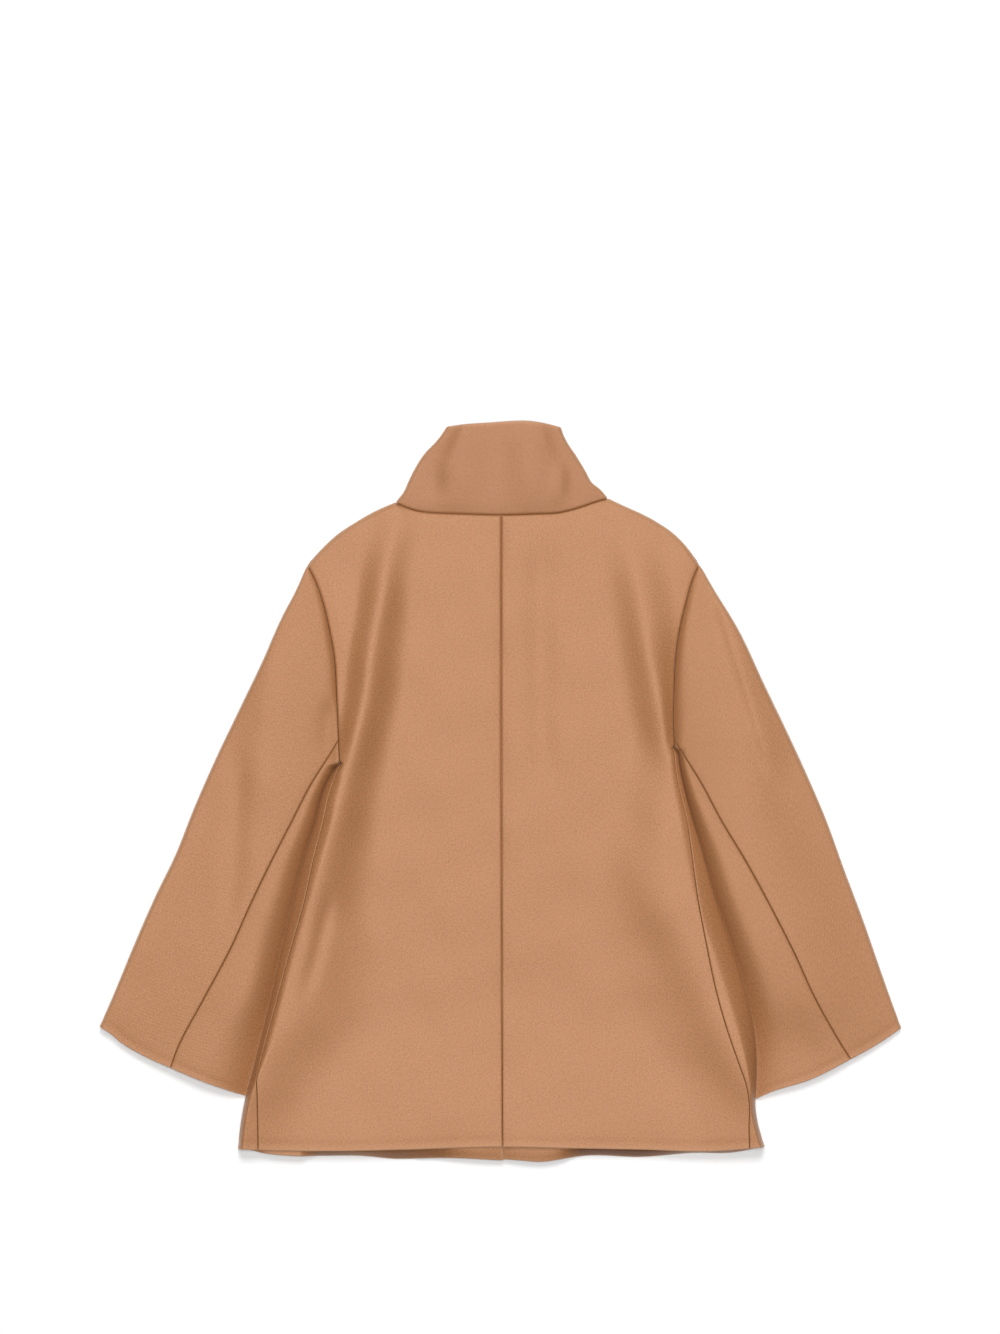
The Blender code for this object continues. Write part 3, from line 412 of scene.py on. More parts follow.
def sewn_wall(name, face, from_seam, pull, from_hem, grain, flipped, inside=0.0, from_fold=np.inf,
              painted_shade=0.0):
    """One cut piece as a closed wall. face(depth) gives its grid of points at a depth into the
    cloth, wound the other way if flipped. Towards an edge the two faces close in on each other
    along a quarter round. A seam also pulls both down, steeply beside its stitches and softly
    further off, as strongly as pull says. grain is the place of each point on the flat cloth, in
    metres. inside is the share of painted shadow on the inner face, where the fronts show below
    the back's hem. Near a hem, and near a folded edge at the distance from_fold, a pale rim of
    highlight is painted. The last argument is the share of a deeper colour painted over the whole
    piece as shade."""
    rounded = SEAM_ROUND * np.sqrt(pull)
    to_edge = np.minimum(from_seam / rounded, from_hem * HEM_SHARPNESS / SEAM_ROUND)
    near = 1 - np.clip(to_edge, 0.0, 1.0)
    half = CLOTH / 2 * np.maximum(np.sqrt(1 - near ** 2), THINNEST_EDGE)
    dip = SEAM_DIP * np.exp(-(from_seam / SEAM_DIP_WIDTH) ** 2)
    dip = dip + SEAM_PULL * np.exp(-(from_seam / SEAM_PULL_WIDTH) ** 2)
    turned = HEM_DIP * np.exp(-((from_hem - HEM_DEPTH) / HEM_DIP_WIDTH) ** 2)
    middle = CLOTH / 2 + pull * dip + turned
    outer, inner = face(middle - half), face(middle + half)
    rows, columns = outer.shape[:2]
    number = np.arange(rows * columns).reshape(rows, columns)
    quads = np.stack([number[:-1, :-1], number[1:, :-1], number[1:, 1:], number[:-1, 1:]], axis=-1)
    quads = quads.reshape(-1, 4)
    quads = quads[np.isfinite(outer.reshape(-1, 3)[quads, 0]).all(axis=1)]
    if flipped:
        quads = quads[:, ::-1]
    edges = np.stack([quads, np.roll(quads, -1, axis=1)], axis=-1).reshape(-1, 2)
    keys = edges[:, 0] * number.size + edges[:, 1]
    border = edges[~np.isin(edges[:, 1] * number.size + edges[:, 0], keys)]
    first, second = border.T
    rim = np.stack([second, first, first + number.size, second + number.size], axis=-1)
    quads = np.concatenate([quads, quads[:, ::-1] + number.size, rim])
    used, renumbered = np.unique(quads, return_inverse=True)
    renumbered = renumbered.reshape(-1, 4)
    mesh = bpy.data.meshes.new(name)
    mesh.vertices.add(len(used))
    mesh.vertices.foreach_set("co", np.concatenate([outer, inner]).reshape(-1, 3)[used].ravel())
    mesh.loops.add(renumbered.size)
    mesh.loops.foreach_set("vertex_index", renumbered.ravel())
    mesh.polygons.add(len(renumbered))
    mesh.polygons.foreach_set("loop_start", np.arange(0, renumbered.size, 4))
    mesh.update(calc_edges=True)
    mesh.shade_smooth()
    flat = np.stack(np.broadcast_arrays(*grain), axis=-1)
    flat = np.broadcast_to(flat, (rows, columns, 2)).reshape(-1, 2)
    place = np.concatenate([flat, flat])[used][renumbered.ravel()]
    mesh.uv_layers.new(name="grain").data.foreach_set("uv", place.ravel())
    # Painted highlight: a pale rim along hems and folded edges
    fold = np.maximum(np.exp(-from_hem / HEM_HIGHLIGHT_WIDTH), np.exp(-(from_fold / RIM_HIGHLIGHT_WIDTH) ** 2))
    fold = np.broadcast_to(fold, (rows, columns)).ravel()
    # Painted shadow on the inner face
    painted_hem_shadow = np.broadcast_to(inside, (rows, columns)).ravel()
    # Painted shade over the whole piece
    across = 0 * fold + painted_shade
    for label, on_outer, on_inner in (("painted_shade", across, across),
                                      ("painted_hem_shadow", 0 * fold, painted_hem_shadow),
                                      ("painted_rim_highlight", fold, fold)):
        values = np.concatenate([on_outer, on_inner])[used]
        mesh.attributes.new(label, "FLOAT", "POINT").data.foreach_set("value", values)
    piece = bpy.data.objects.new("wool_" + name, mesh)
    bpy.context.scene.collection.objects.link(piece)
    return piece


def node(tree, kind, **inputs):
    """A shader node with the given input values."""
    made = tree.nodes.new(kind)
    for name, value in inputs.items():
        made.inputs[name.replace("_", " ")].default_value = value
    return made


def mixed(tree, share, first, second, blend="MIX"):
    """The first colour with a share of the second mixed or multiplied in."""
    mix = tree.nodes.new("ShaderNodeMix")
    mix.data_type = "RGBA"
    mix.blend_type = blend
    tree.links.new(share, mix.inputs["Factor"])
    if isinstance(first, tuple):
        mix.inputs["A"].default_value = first
    else:
        tree.links.new(first, mix.inputs["A"])
    mix.inputs["B"].default_value = second
    return mix.outputs["Result"]


WOOL_COLOUR = (0.320, 0.137, 0.051, 1.0)
WOOL_DEEP = (0.278, 0.114, 0.039, 1.0)
WOOL_SHADOW = (0.215, 0.086, 0.028, 1.0)
WOOL_PALE = (0.450, 0.208, 0.090, 1.0)
# Painted highlight for the rims of hems and folded edges
WOOL_HIGHLIGHT_PAINT = (0.52, 0.30, 0.18, 1.0)
# Painted shade that darkens the whole collar
WOOL_COLLAR_SHADE_PAINT = (0.235, 0.090, 0.029, 1.0)
# Painted shadow on the fronts' inner face below the back's hem
WOOL_HEM_SHADOW_PAINT = (0.110, 0.036, 0.008, 1.0)
RIB_SHADE = (0.80, 0.76, 0.72, 1.0)
GLOSS_TINT = (1.0, 0.62, 0.45, 1.0)
SHEEN_TINT = (1.0, 0.74, 0.52, 1.0)
ROUGHNESS, GLOSS = 0.46, 0.98
SHEEN, SHEEN_ROUGHNESS = 0.10, 0.3
NAP_HEIGHT, TWILL_HEIGHT = 0.00035, 0.00006
RIB_SHARE = 0.15
TWILL_ANGLE = np.radians(60.0)
TWILL_PERIOD = 0.0023
WAVE_AT_SCALE_1 = 2 * np.pi / 20


def wool_flannel():
    """Brushed camel twill: clouds, slubs and flecks of deeper and paler wool, darkened a little by
    the diagonal rib, then painted shade over the collar, painted shadow on the fronts below the
    back's hem, and a painted highlight along folded edges and hems."""
    material = bpy.data.materials.new("wool_flannel")
    material.use_nodes = True
    tree = material.node_tree
    shader = tree.nodes["Principled BSDF"]
    link = tree.links.new
    grain = tree.nodes.new("ShaderNodeUVMap")
    grain.uv_map = "grain"
    turned = node(tree, "ShaderNodeMapping", Rotation=(0.0, 0.0, np.pi / 2 - TWILL_ANGLE))
    link(grain.outputs["UV"], turned.inputs["Vector"])
    rib = node(tree, "ShaderNodeTexWave", Scale=WAVE_AT_SCALE_1 / TWILL_PERIOD, Distortion=1.2,
               Detail=2.0, Detail_Scale=0.6)
    link(turned.outputs["Vector"], rib.inputs["Vector"])
    cloud = node(tree, "ShaderNodeTexNoise", Scale=24.0, Detail=3.0, Roughness=0.5)
    slub = node(tree, "ShaderNodeTexNoise", Scale=400.0, Detail=2.0, Roughness=0.6)
    fleck = node(tree, "ShaderNodeTexNoise", Scale=560.0, Detail=3.0, Roughness=0.65)
    fuzz = node(tree, "ShaderNodeTexNoise", Scale=1500.0, Detail=2.0, Roughness=0.6)
    for noise in (cloud, slub, fleck, fuzz):
        link(grain.outputs["UV"], noise.inputs["Vector"])
    colour = WOOL_COLOUR
    for label, noise, most, second in (("cloud", cloud, 0.35, WOOL_DEEP),
                                       ("slub", slub, 0.85, WOOL_SHADOW),
                                       ("fleck", fleck, 0.80, WOOL_PALE)):
        share = node(tree, "ShaderNodeMapRange", From_Min=0.3, From_Max=0.7, To_Max=most)
        share.label = label
        link(noise.outputs["Fac"], share.inputs["Value"])
        colour = mixed(tree, share.outputs["Result"], colour, second)
    shade = node(tree, "ShaderNodeMapRange", To_Min=0.0, To_Max=RIB_SHARE)
    link(rib.outputs["Fac"], shade.inputs["Value"])
    colour = mixed(tree, shade.outputs["Result"], colour, RIB_SHADE, "MULTIPLY")
    # Painted shade over the collar, painted shadow below the back's hem and a painted highlight on
    # rims, each mixed in by its attribute
    for label, second in (("painted_shade", WOOL_COLLAR_SHADE_PAINT), ("painted_hem_shadow", WOOL_HEM_SHADOW_PAINT),
                          ("painted_rim_highlight", WOOL_HIGHLIGHT_PAINT)):
        share = tree.nodes.new("ShaderNodeAttribute")
        share.attribute_name = label
        colour = mixed(tree, share.outputs["Fac"], colour, second)
    link(colour, shader.inputs["Base Color"])
    nap = node(tree, "ShaderNodeBump", Strength=0.6, Distance=NAP_HEIGHT)
    link(fuzz.outputs["Fac"], nap.inputs["Height"])
    twill = node(tree, "ShaderNodeBump", Strength=0.5, Distance=TWILL_HEIGHT)
    link(rib.outputs["Fac"], twill.inputs["Height"])
    link(nap.outputs["Normal"], twill.inputs["Normal"])
    link(twill.outputs["Normal"], shader.inputs["Normal"])
    shader.inputs["Roughness"].default_value = ROUGHNESS
    shader.inputs["Specular IOR Level"].default_value = GLOSS
    shader.inputs["Specular Tint"].default_value = GLOSS_TINT
    shader.inputs["Sheen Weight"].default_value = SHEEN
    shader.inputs["Sheen Roughness"].default_value = SHEEN_ROUGHNESS
    shader.inputs["Sheen Tint"].default_value = SHEEN_TINT
    return material


wool = wool_flannel()


def back_panel(side):
    """One half of the back: from the centre-back seam to the armhole, and below that to the side
    seam."""
    half = Half(side)
    centre_out = CENTRE_SEAM_TOP + (CENTRE_SEAM_HEM - CENTRE_SEAM_TOP) * half.to_hem
    start = side * centre_out + SEAM_GAP / 2
    share = stations(half.tip_out, GRID_STEP)
    neck = (half.neck_out - start[0]) / (half.tip_out - start[0])
    share[np.abs(share - neck).argmin()] = neck[0]
    end = half.seam - SEAM_GAP / 2
    distance = start + (end - start) * share
    top_out = start + (half.tip_out - start) * share
    yoke_out = start + (half.armhole(0.0) - start) * share

    def face(depth):
        on_yoke = yoke_out + half.armhole_inset(depth, top_out)
        out = np.where(half.on_yoke, on_yoke, half.out_at(distance, depth))
        drop = half.drop_at(top_out, 0.0, back_hem(side * out), depth)
        yoke = body_top(side, out, drop) - depth
        yoke = half.shoulder_round(yoke, (BODY_TOP + SEAM_GAP) / 2, top_out)
        height = np.where(half.on_yoke, yoke, half.height_at(distance, out, drop, depth))
        return placed(side, out, drop, height)

    drop = half.drop_at(top_out, 0.0, back_hem(side * distance), 0.0)
    width = np.where(half.on_yoke, half.armhole(0.0), end) - start
    from_seam = np.minimum(np.minimum(share, 1 - share) * width, half.from_top(drop, top_out))
    centre_pull = 1.0 - CENTRE_SEAM_EASE * half.to_hem
    pull = np.where((share > 0.5) & ~half.on_yoke, SIDE_SEAM_PULL, centre_pull)
    grain = side * (start + width * share) * MM, -drop * MM
    # Painted highlight along the rounded shoulder, kept clear of the neck seam
    from_shoulder = drop - drop[:1] + (1 - half.shoulder_share(top_out)) * NECK_CLEAR_OF_HIGHLIGHT
    return sewn_wall("back_" + SIDE_NAMES[side], face, from_seam, pull, drop[-1:] - drop, grain,
                     side == LEFT, from_fold=from_shoulder)


for side in (LEFT, RIGHT):
    back = back_panel(side)
    back.data.materials.append(wool)
    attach(back, "root")
    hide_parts("back_" + SIDE_NAMES[side])


# Fronts. Two panels of the same coating, face down on the table. Each runs round its rolled side
# to the side seam. The wearer's right one lies outside, so here it is the lowest layer, and the
# other laps over it up to the middle. Their hems show below the back's.
FRONT_EDGE_LEFT = 2.7
FRONT_NECK_DIP = 18.0
FRONT_STEP = 6.0
STRIP_COLUMNS = 22
STRIP_CROWDING = 1.5
STRIP_ROWS_ABOVE = 2
NEAR_SIDE = 62.0
FRONT_STAND = 10.8
FRONT_STAND_RUN = 55.0
FRONT_STAND_FADE = 25.0
# How soon the painted shadow sets in below the back's hem
HEM_SHADOW_PAINT_RUN = 3.0
LEAST_STRIP = 0.001
# The front's hem shows below the back's: "droop" is 0 where it stays level and lit, and 1 where
# it hangs to the table, and "turned" says how much painted shadow darkens its inner face there
FRONT_HEM = {
    LEFT: table(
        "out drop droop turned",
        (-80, 676, 0.3, 0), (0, 676.7, 0.3, 0), (43, 674.6, 0.4, 0), (54, 674.5, 0.6, 0.2),
        (66, 674.6, 0.9, 0.4), (80, 675, 1, 0.4), (109, 675.7, 1, 0.5), (147, 672.5, 1, 0.5),
        (192, 672.5, 1, 0.6), (206, 672.4, 0.1, 0), (246, 669.4, 0, 0), (262, 666.5, 0, 0.3),
        (276.2, 664.9, 0, 0.5)),
    RIGHT: table(
        "out drop droop turned",
        (-80, 673.6, 1, 0), (-66, 673.8, 0.8, 0), (-43, 674.3, 0.4, 0), (0, 675.6, 0.3, 0),
        (18.9, 676.7, 0.2, 0), (42, 678.3, 0.2, 0), (63, 675.7, 0.3, 0), (76, 673.8, 0.8, 0.5),
        (87, 672.5, 1, 1), (149, 673.6, 1, 1), (202.7, 669.4, 1, 0.8), (241.5, 669, 0.8, 0.8),
        (262, 665.5, 0.3, 0.8), (277.2, 662.5, 0, 0.8)),
}


def front_stand(half, out, drop):
    """How far the front stands off the table: up towards the back's hem, then down to its own."""
    rows = FRONT_HEM[half.side]
    at_back_hem = back_hem(half.side * out)
    strip = read(rows, "drop", out, by="out") - at_back_hem
    past = (drop - at_back_hem) / (strip + LEAST_STRIP)
    up = smoothstep((drop - at_back_hem) / FRONT_STAND_RUN + 1)
    droop = np.clip(read(rows, "droop", out, by="out"), 0.0, 1.0)
    down = 1 - droop * np.clip(past, 0.0, 1.0)
    if half.side == LEFT:
        lapped = over_end(-out, FRONT_EDGE_RIGHT)
    else:
        lapped = 1 - smoothstep((out - FRONT_EDGE_LEFT) / OVERLAP_RUN)
    stand = FRONT_STAND - OVERLAP_LIFT * lapped
    return stand * up * down * smoothstep((half.start - out) / FRONT_STAND_FADE)


def front_panel(side):
    """One front: from the side seam round the rolled side, then flat to its front edge."""
    half = Half(side)
    hem = FRONT_HEM[side]
    front_edge = -FRONT_EDGE_LEFT if side == LEFT else FRONT_EDGE_RIGHT
    beside = np.arange(0.0, NEAR_SIDE, GRID_STEP)
    share = stations(half.tip_out - NEAR_SIDE - front_edge, FRONT_STEP, crowd_start=False)

    def across(first_out):
        inner = first_out - NEAR_SIDE
        return np.hstack([first_out - beside, inner + (front_edge - inner) * share])

    skirt_out = across(half.start)
    yoke_out = across(half.armhole(0.0))
    top_out = across(np.full((1, 1), half.tip_out))
    flat_out = np.where(half.on_yoke, yoke_out, skirt_out)
    strip_share = np.linspace(0.0, 1.0, STRIP_COLUMNS + 1)[:-1] ** STRIP_CROWDING
    seam = half.seam + SEAM_GAP / 2
    distance = seam + (half.end - seam) * strip_share

    def face(depth):
        in_strip, in_flat = depth[:, :STRIP_COLUMNS], depth[:, STRIP_COLUMNS:]
        out = np.where(half.on_yoke, yoke_out + half.armhole_inset(in_flat, top_out), skirt_out)
        drop = half.drop_at(top_out, FRONT_NECK_DIP, read(hem, "drop", out, by="out"), in_flat)
        height = body_under(side, out, drop) + front_stand(half, out, drop) + in_flat
        height = half.shoulder_round(height, (BODY_TOP - SEAM_GAP) / 2, top_out)
        strip_out = half.out_at(distance, in_strip)
        strip_drop = half.drop_at(half.tip_out, 0.0, back_hem(side * strip_out), in_strip)
        strip_height = half.height_at(distance, strip_out, strip_drop, in_strip)
        strip = placed(side, strip_out, strip_drop, strip_height)
        strip[:half.on_yoke.sum() - STRIP_ROWS_ABOVE] = np.nan
        return np.hstack([strip, placed(side, out, drop, height)])

    drop = half.drop_at(top_out, FRONT_NECK_DIP, read(hem, "drop", flat_out, by="out"), 0.0)
    strip_drop = half.drop_at(half.tip_out, 0.0, back_hem(side * half.start), 0.0) + 0 * distance
    all_drop = np.hstack([strip_drop, drop])
    away = np.full(drop.shape, NEAR_SIDE)
    from_armhole = np.where(half.on_yoke, half.armhole(0.0) - flat_out, away)
    from_seam = np.minimum(from_armhole, half.from_top(drop, top_out))
    from_seam = np.hstack([distance - seam, from_seam])
    from_front_edge = np.hstack([0 * distance + NEAR_SIDE, flat_out - front_edge])
    from_hem = np.minimum(from_front_edge, all_drop[-1:] - all_drop)
    along_cloth = np.hstack([distance, half.start + half.end - flat_out])
    grain = side * along_cloth * MM, -all_drop * MM
    # Painted shadow where the front's hem shows below the back's
    turned = np.clip(read(hem, "turned", flat_out, by="out"), 0.0, 1.0)
    turned = turned * smoothstep((drop - back_hem(side * flat_out)) / HEM_SHADOW_PAINT_RUN + 1)
    turned = np.hstack([0 * distance, turned])
    # Painted highlight along the edge of the rolled side below the sleeve
    rolled_out = half.out_at(distance, 0.0)
    free = smoothstep((strip_drop - SLEEVE_INNER[side]["drop"][-1]) / LIFT_END_RUN)
    from_fold = rolled_out.max(axis=1, keepdims=True) - rolled_out + (1 - free) * NEAR_SIDE
    return sewn_wall("front_" + SIDE_NAMES[side], face, from_seam, SIDE_SEAM_PULL, from_hem, grain,
                     side == LEFT, turned, from_fold=np.hstack([from_fold, away]))


for side in (LEFT, RIGHT):
    front = front_panel(side)
    front.data.materials.append(wool)
    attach(front, "root")
    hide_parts("front_" + SIDE_NAMES[side])


# Sleeves. Each wide sleeve is cut in two pieces: the upper one wraps the outer fold, the lower
# one the inner fold that lies under the body, and the seam between them runs down from the
# armhole to the cuff. The cloth is thick, so it stands up before it dives under the body.
TUCKED_TOP = 4.2
TUCK_RUN = 6.5
BANK_POWER = 3.4
FOLD_ROLL = 3.7
ROUND_COLUMNS = 11
SEAM_SEARCH = 61
SLEEVE_SEAM_EASE = 0.5
SLEEVE_UNEVEN = 0.5
GRAIN_TURN = {LEFT: np.radians(-15.0), RIGHT: np.radians(4.0)}
SLEEVE_OUTER = {
    LEFT: table(
        "drop out",
        (52, 203.5), (77.2, 214.2), (107.6, 230), (150.7, 248.9), (201.1, 273), (251.5, 297.2),
        (306.1, 321.3), (358.6, 342.3), (397.4, 361.2), (449.9, 384.3), (485.6, 399),
        (510.8, 409.5), (536.5, 421)),
    RIGHT: table(
        "drop out",
        (51, 208.7), (74, 221.6), (119.2, 248.9), (179, 277.2), (229.4, 301.4), (270.4, 320.3),
        (316.6, 340.2), (374.3, 361.2), (424.7, 380.1), (473, 396.9), (508.7, 409.5),
        (538.1, 420.4)),
}
CUFF = {
    LEFT: table(
        "out drop",
        (421, 536.5), (407.4, 545.5), (399, 552.8), (378, 565.4), (346.5, 579.7), (304.5, 596.9),
        (267.1, 609.5), (238, 617)),
    RIGHT: table(
        "out drop",
        (420.4, 538.1), (405.3, 548.6), (388.5, 559.1), (367.1, 570.7), (325.5, 591.7),
        (283.5, 605.3), (264.6, 613.7), (238, 619.5)),
}
# The visible seam of each sleeve, and the hidden one as shares of its width and length
SLEEVE_SEAM = {
    LEFT: table(
        "drop out",
        (222, 161.8), (239.1, 172.2), (263.2, 186.9), (278, 196.4), (320, 218.4), (362, 239.9),
        (404, 260.4), (456, 284), (509, 312.4), (561, 339.7), (580, 346.5), (600, 354)),
    RIGHT: table(
        "drop out",
        (224, 173.8), (241.2, 184.8), (278, 208.4), (320, 231), (362, 256.2), (404, 279.3),
        (456, 306.1), (509, 330.8), (561, 360.7), (571, 367.1), (600, 384)),
}
HIDDEN_SEAM = table("along share", (0, 0.89), (0.25, 0.78), (0.5, 0.70), (0.75, 0.60), (1, 0.50))
# The upper face has its own height, "outer", at the outer fold. From "foot" it climbs by "rise" to
# a hump at "top", and dives down a bank of the given width to the armhole or under the body.
SLEEVE_LIFT = {
    LEFT: table(
        "drop outer foot top rise bank",
        (52, 7.4, 215, 190, 0.5, 12), (100, 10.5, 238, 200, 1.5, 12), (141, 12.5, 262, 232, 2, 15),
        (194, 13, 282, 248, 2.5, 20), (236, 13, 292, 250, 3, 28), (262, 13, 306, 250, 3.5, 18),
        (278, 13, 314, 250, 4, 16), (320, 13.5, 330, 244, 5, 23), (362, 13.5, 340, 242, 7, 31),
        (404, 13.5, 362, 246, 7.8, 36), (456, 13.5, 380, 256, 7.8, 41),
        (509, 12.5, 396, 270, 7.8, 44), (561, 10.5, 405, 300, 7.5, 66),
        (620, 9, 410, 320, 6.5, 74)),
    RIGHT: table(
        "drop outer foot top rise bank",
        (51, 7.4, 222, 200, 0.5, 12), (100, 10.5, 245, 205, 1.5, 12), (141, 12.5, 266, 215, 2, 16),
        (194, 13, 292, 232, 2.6, 19), (232, 12.5, 322, 250, 4, 18), (248, 12, 326, 252, 4.5, 12),
        (278, 11.5, 336, 255, 6, 13), (320, 9.5, 352, 260, 10.5, 20),
        (362, 8.5, 374, 268, 13.5, 28), (404, 9, 396, 280, 14, 31), (456, 9, 414, 298, 13, 36),
        (509, 8, 426, 314, 11, 43), (561, 6.5, 430, 338, 6.6, 50), (620, 6, 435, 350, 5.5, 60)),
}
SLEEVE_FOLDS = table(
    "top bottom fade x_top x_middle x_bottom left right height",
    (60, 290, 50, 219, 257, 290, 8, 21, 2.7),
    (185, 264, 30, -178, -178, -180, 13, 7, -3.4),
    (235, 450, 60, -274, -278, -288, 11, 13, -1.7),
    (90, 340, 70, -232, -242, -258, 27, 44, 2.8),
    (100, 340, 70, 232, 250, 276, 42, 22, 1.8))


def along(rows, share):
    """Out and drop at a share of the length of a table's line."""
    length = np.hypot(np.diff(rows["out"]), np.diff(rows["drop"])).cumsum()
    where = np.concatenate([[0.0], length]) / length[-1]
    return np.stack([bend(share, where, rows["out"]), bend(share, where, rows["drop"])], axis=-1)


def sleeve_top(side, out, drop):
    """Height of the sleeve's upper face: level with the body at the armhole, and below that
    diving under it. The climb to the hump is the mean of a straight and a soft one."""
    rows = SLEEVE_LIFT[side]
    outer, foot, top, rise, bank = (read(rows, name, drop)
                                    for name in ("outer", "foot", "top", "rise", "bank"))
    climbed = np.clip((foot - out) / (foot - top), 0.0, 1.0)
    level = outer + rise * (climbed + smoothstep(climbed)) / 2
    level = level + folds(SLEEVE_FOLDS, side * out, drop)
    level = level + SLEEVE_UNEVEN * unevenness(side * out, drop)
    below_pit = smoothstep((drop - SLEEVE_INNER[side]["drop"][0]) / TUCK_RUN)
    armhole_out = read(ARMHOLE[side], "out", drop)
    low = body_top(side, armhole_out, drop) * (1 - below_pit) + TUCKED_TOP * below_pit
    edge = np.maximum(armhole_out, read(SIDE[side], "edge", drop))
    up_bank = 1 - (1 - np.clip((out - edge) / bank, 0.0, 1.0)) ** BANK_POWER
    return low + (level - low) * up_bank


def sleeve_plan(side, share, down):
    """Out and drop of a point at a share of the sleeve's width and length: the two folded edges
    joined by straight lines, bent near the ends to follow the armhole and the cuff."""
    across, along_it = share[..., None], down[..., None]
    outer = along(SLEEVE_OUTER[side], down)
    inner = along(SLEEVE_INNER[side], down)
    armhole_drop = along(ARMHOLE[side], share)[..., 1]
    armhole_out = read(ARMHOLE[side], "out", armhole_drop) + SEAM_GAP / 2
    armhole = np.stack([armhole_out, armhole_drop], axis=-1)
    cuff = along(CUFF[side], share)
    straight_top, straight_cuff = (
        along(SLEEVE_OUTER[side], end) * (1 - across) + along(SLEEVE_INNER[side], end) * across
        for end in (0.0, 1.0))
    joined = outer * (1 - across) + inner * across
    return joined + (armhole - straight_top) * (1 - along_it) + (cuff - straight_cuff) * along_it


def seam_share(side, down):
    """Share of the sleeve's width at which each section meets the visible seam."""
    share = np.linspace(0.0, 1.0, SEAM_SEARCH)
    out, drop = np.moveaxis(sleeve_plan(side, *np.broadcast_arrays(share, down)), -1, 0)
    before = read(SLEEVE_SEAM[side], "out", drop) - out
    return np.array([[np.interp(0.0, np.maximum.accumulate(row), share)] for row in before])


def sleeve_piece(side, outer_half):
    """One sleeve piece: from the back seam on top, round a folded edge, to the seam beneath."""
    name = "top_sleeve_" if outer_half else "under_sleeve_"
    inwards = -1.0 if outer_half else 1.0
    length, inner_length = (np.hypot(*(along(line[side], 1.0) - along(line[side], 0.0)))
                            for line in (SLEEVE_OUTER, SLEEVE_INNER))
    down = stations(length, GRID_STEP)[:, None]
    across = along(SLEEVE_OUTER[side], down) - along(SLEEVE_INNER[side], down)
    width = np.linalg.norm(across, axis=-1)
    back = seam_share(side, down) + inwards * SEAM_GAP / 2 / width
    front = read(HIDDEN_SEAM, "share", down, by="along") + inwards * SEAM_GAP / 2 / width
    start = FOLD_ROLL / width if outer_half else 1 - FOLD_ROLL / width
    flat = stations(np.abs(back - start).mean() * width.mean(), GRID_STEP, crowd_start=False)
    beneath = flat[::2]
    beneath[-1] = 1.0
    turn = np.linspace(0.0, np.pi, ROUND_COLUMNS)[1:-1]
    on_top = start + (back - start) * flat[::-1]
    under = start + (front - start) * beneath

    def face(depth):
        on_fold = depth[:, len(flat):len(flat) + len(turn)]
        rounded = start + inwards * (FOLD_ROLL - on_fold) / width * np.sin(turn)
        share = np.hstack([on_top, rounded, under])
        out, drop = np.moveaxis(sleeve_plan(side, share, np.broadcast_to(down, share.shape)), -1, 0)
        top = sleeve_top(side, out, drop)[:, :len(flat)]
        half = top[:, -1:] / 2
        rolled = half + (half - on_fold) * np.cos(turn)
        below = depth[:, len(flat) + len(turn):]
        height = np.hstack([top - depth[:, :len(flat)], rolled, below])
        return placed(side, out, drop, height)

    fold_from_seam = np.abs(back - start) * width + 0 * turn
    from_seam = np.hstack([np.abs(on_top - back) * width, fold_from_seam,
                           np.abs(under - front) * width])
    from_seam = np.minimum(from_seam, down * length)
    rounded = start + inwards * FOLD_ROLL / width * np.sin(turn)
    share_of_all = np.hstack([on_top, rounded, under])
    over = np.hstack([on_top, rounded, 2 * start - under]) * width * -side
    below = -down * (length + (inner_length - length) * share_of_all)
    cos, sin = np.cos(GRAIN_TURN[side]), np.sin(GRAIN_TURN[side])
    grain = (over * cos + below * sin) * MM, (below * cos - over * sin) * MM
    pull = 1.0 - SLEEVE_SEAM_EASE * down ** 2
    # Painted highlight along the sleeve's outer fold
    from_fold = share_of_all * width if outer_half else np.inf
    return sewn_wall(name + SIDE_NAMES[side], face, from_seam, pull, (1 - down) * length, grain,
                     (side == LEFT) == outer_half, from_fold=from_fold)


for side in (LEFT, RIGHT):
    for outer_half in (True, False):
        sleeve = sleeve_piece(side, outer_half)
        sleeve.data.materials.append(wool)
        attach(sleeve, "root")
        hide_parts(("top_sleeve_" if outer_half else "under_sleeve_") + SIDE_NAMES[side])


# Funnel collar. One band of coating, folded flat at both sides of the neck, with its two ends
# lapped over each other at the centre front, which faces the table. Old creases dent its back.
COLLAR_END_TOP = -30.0
COLLAR_STEP = 2.2
COLLAR_END_STEP = 4.4
COLLAR_FADE = 1 / 6
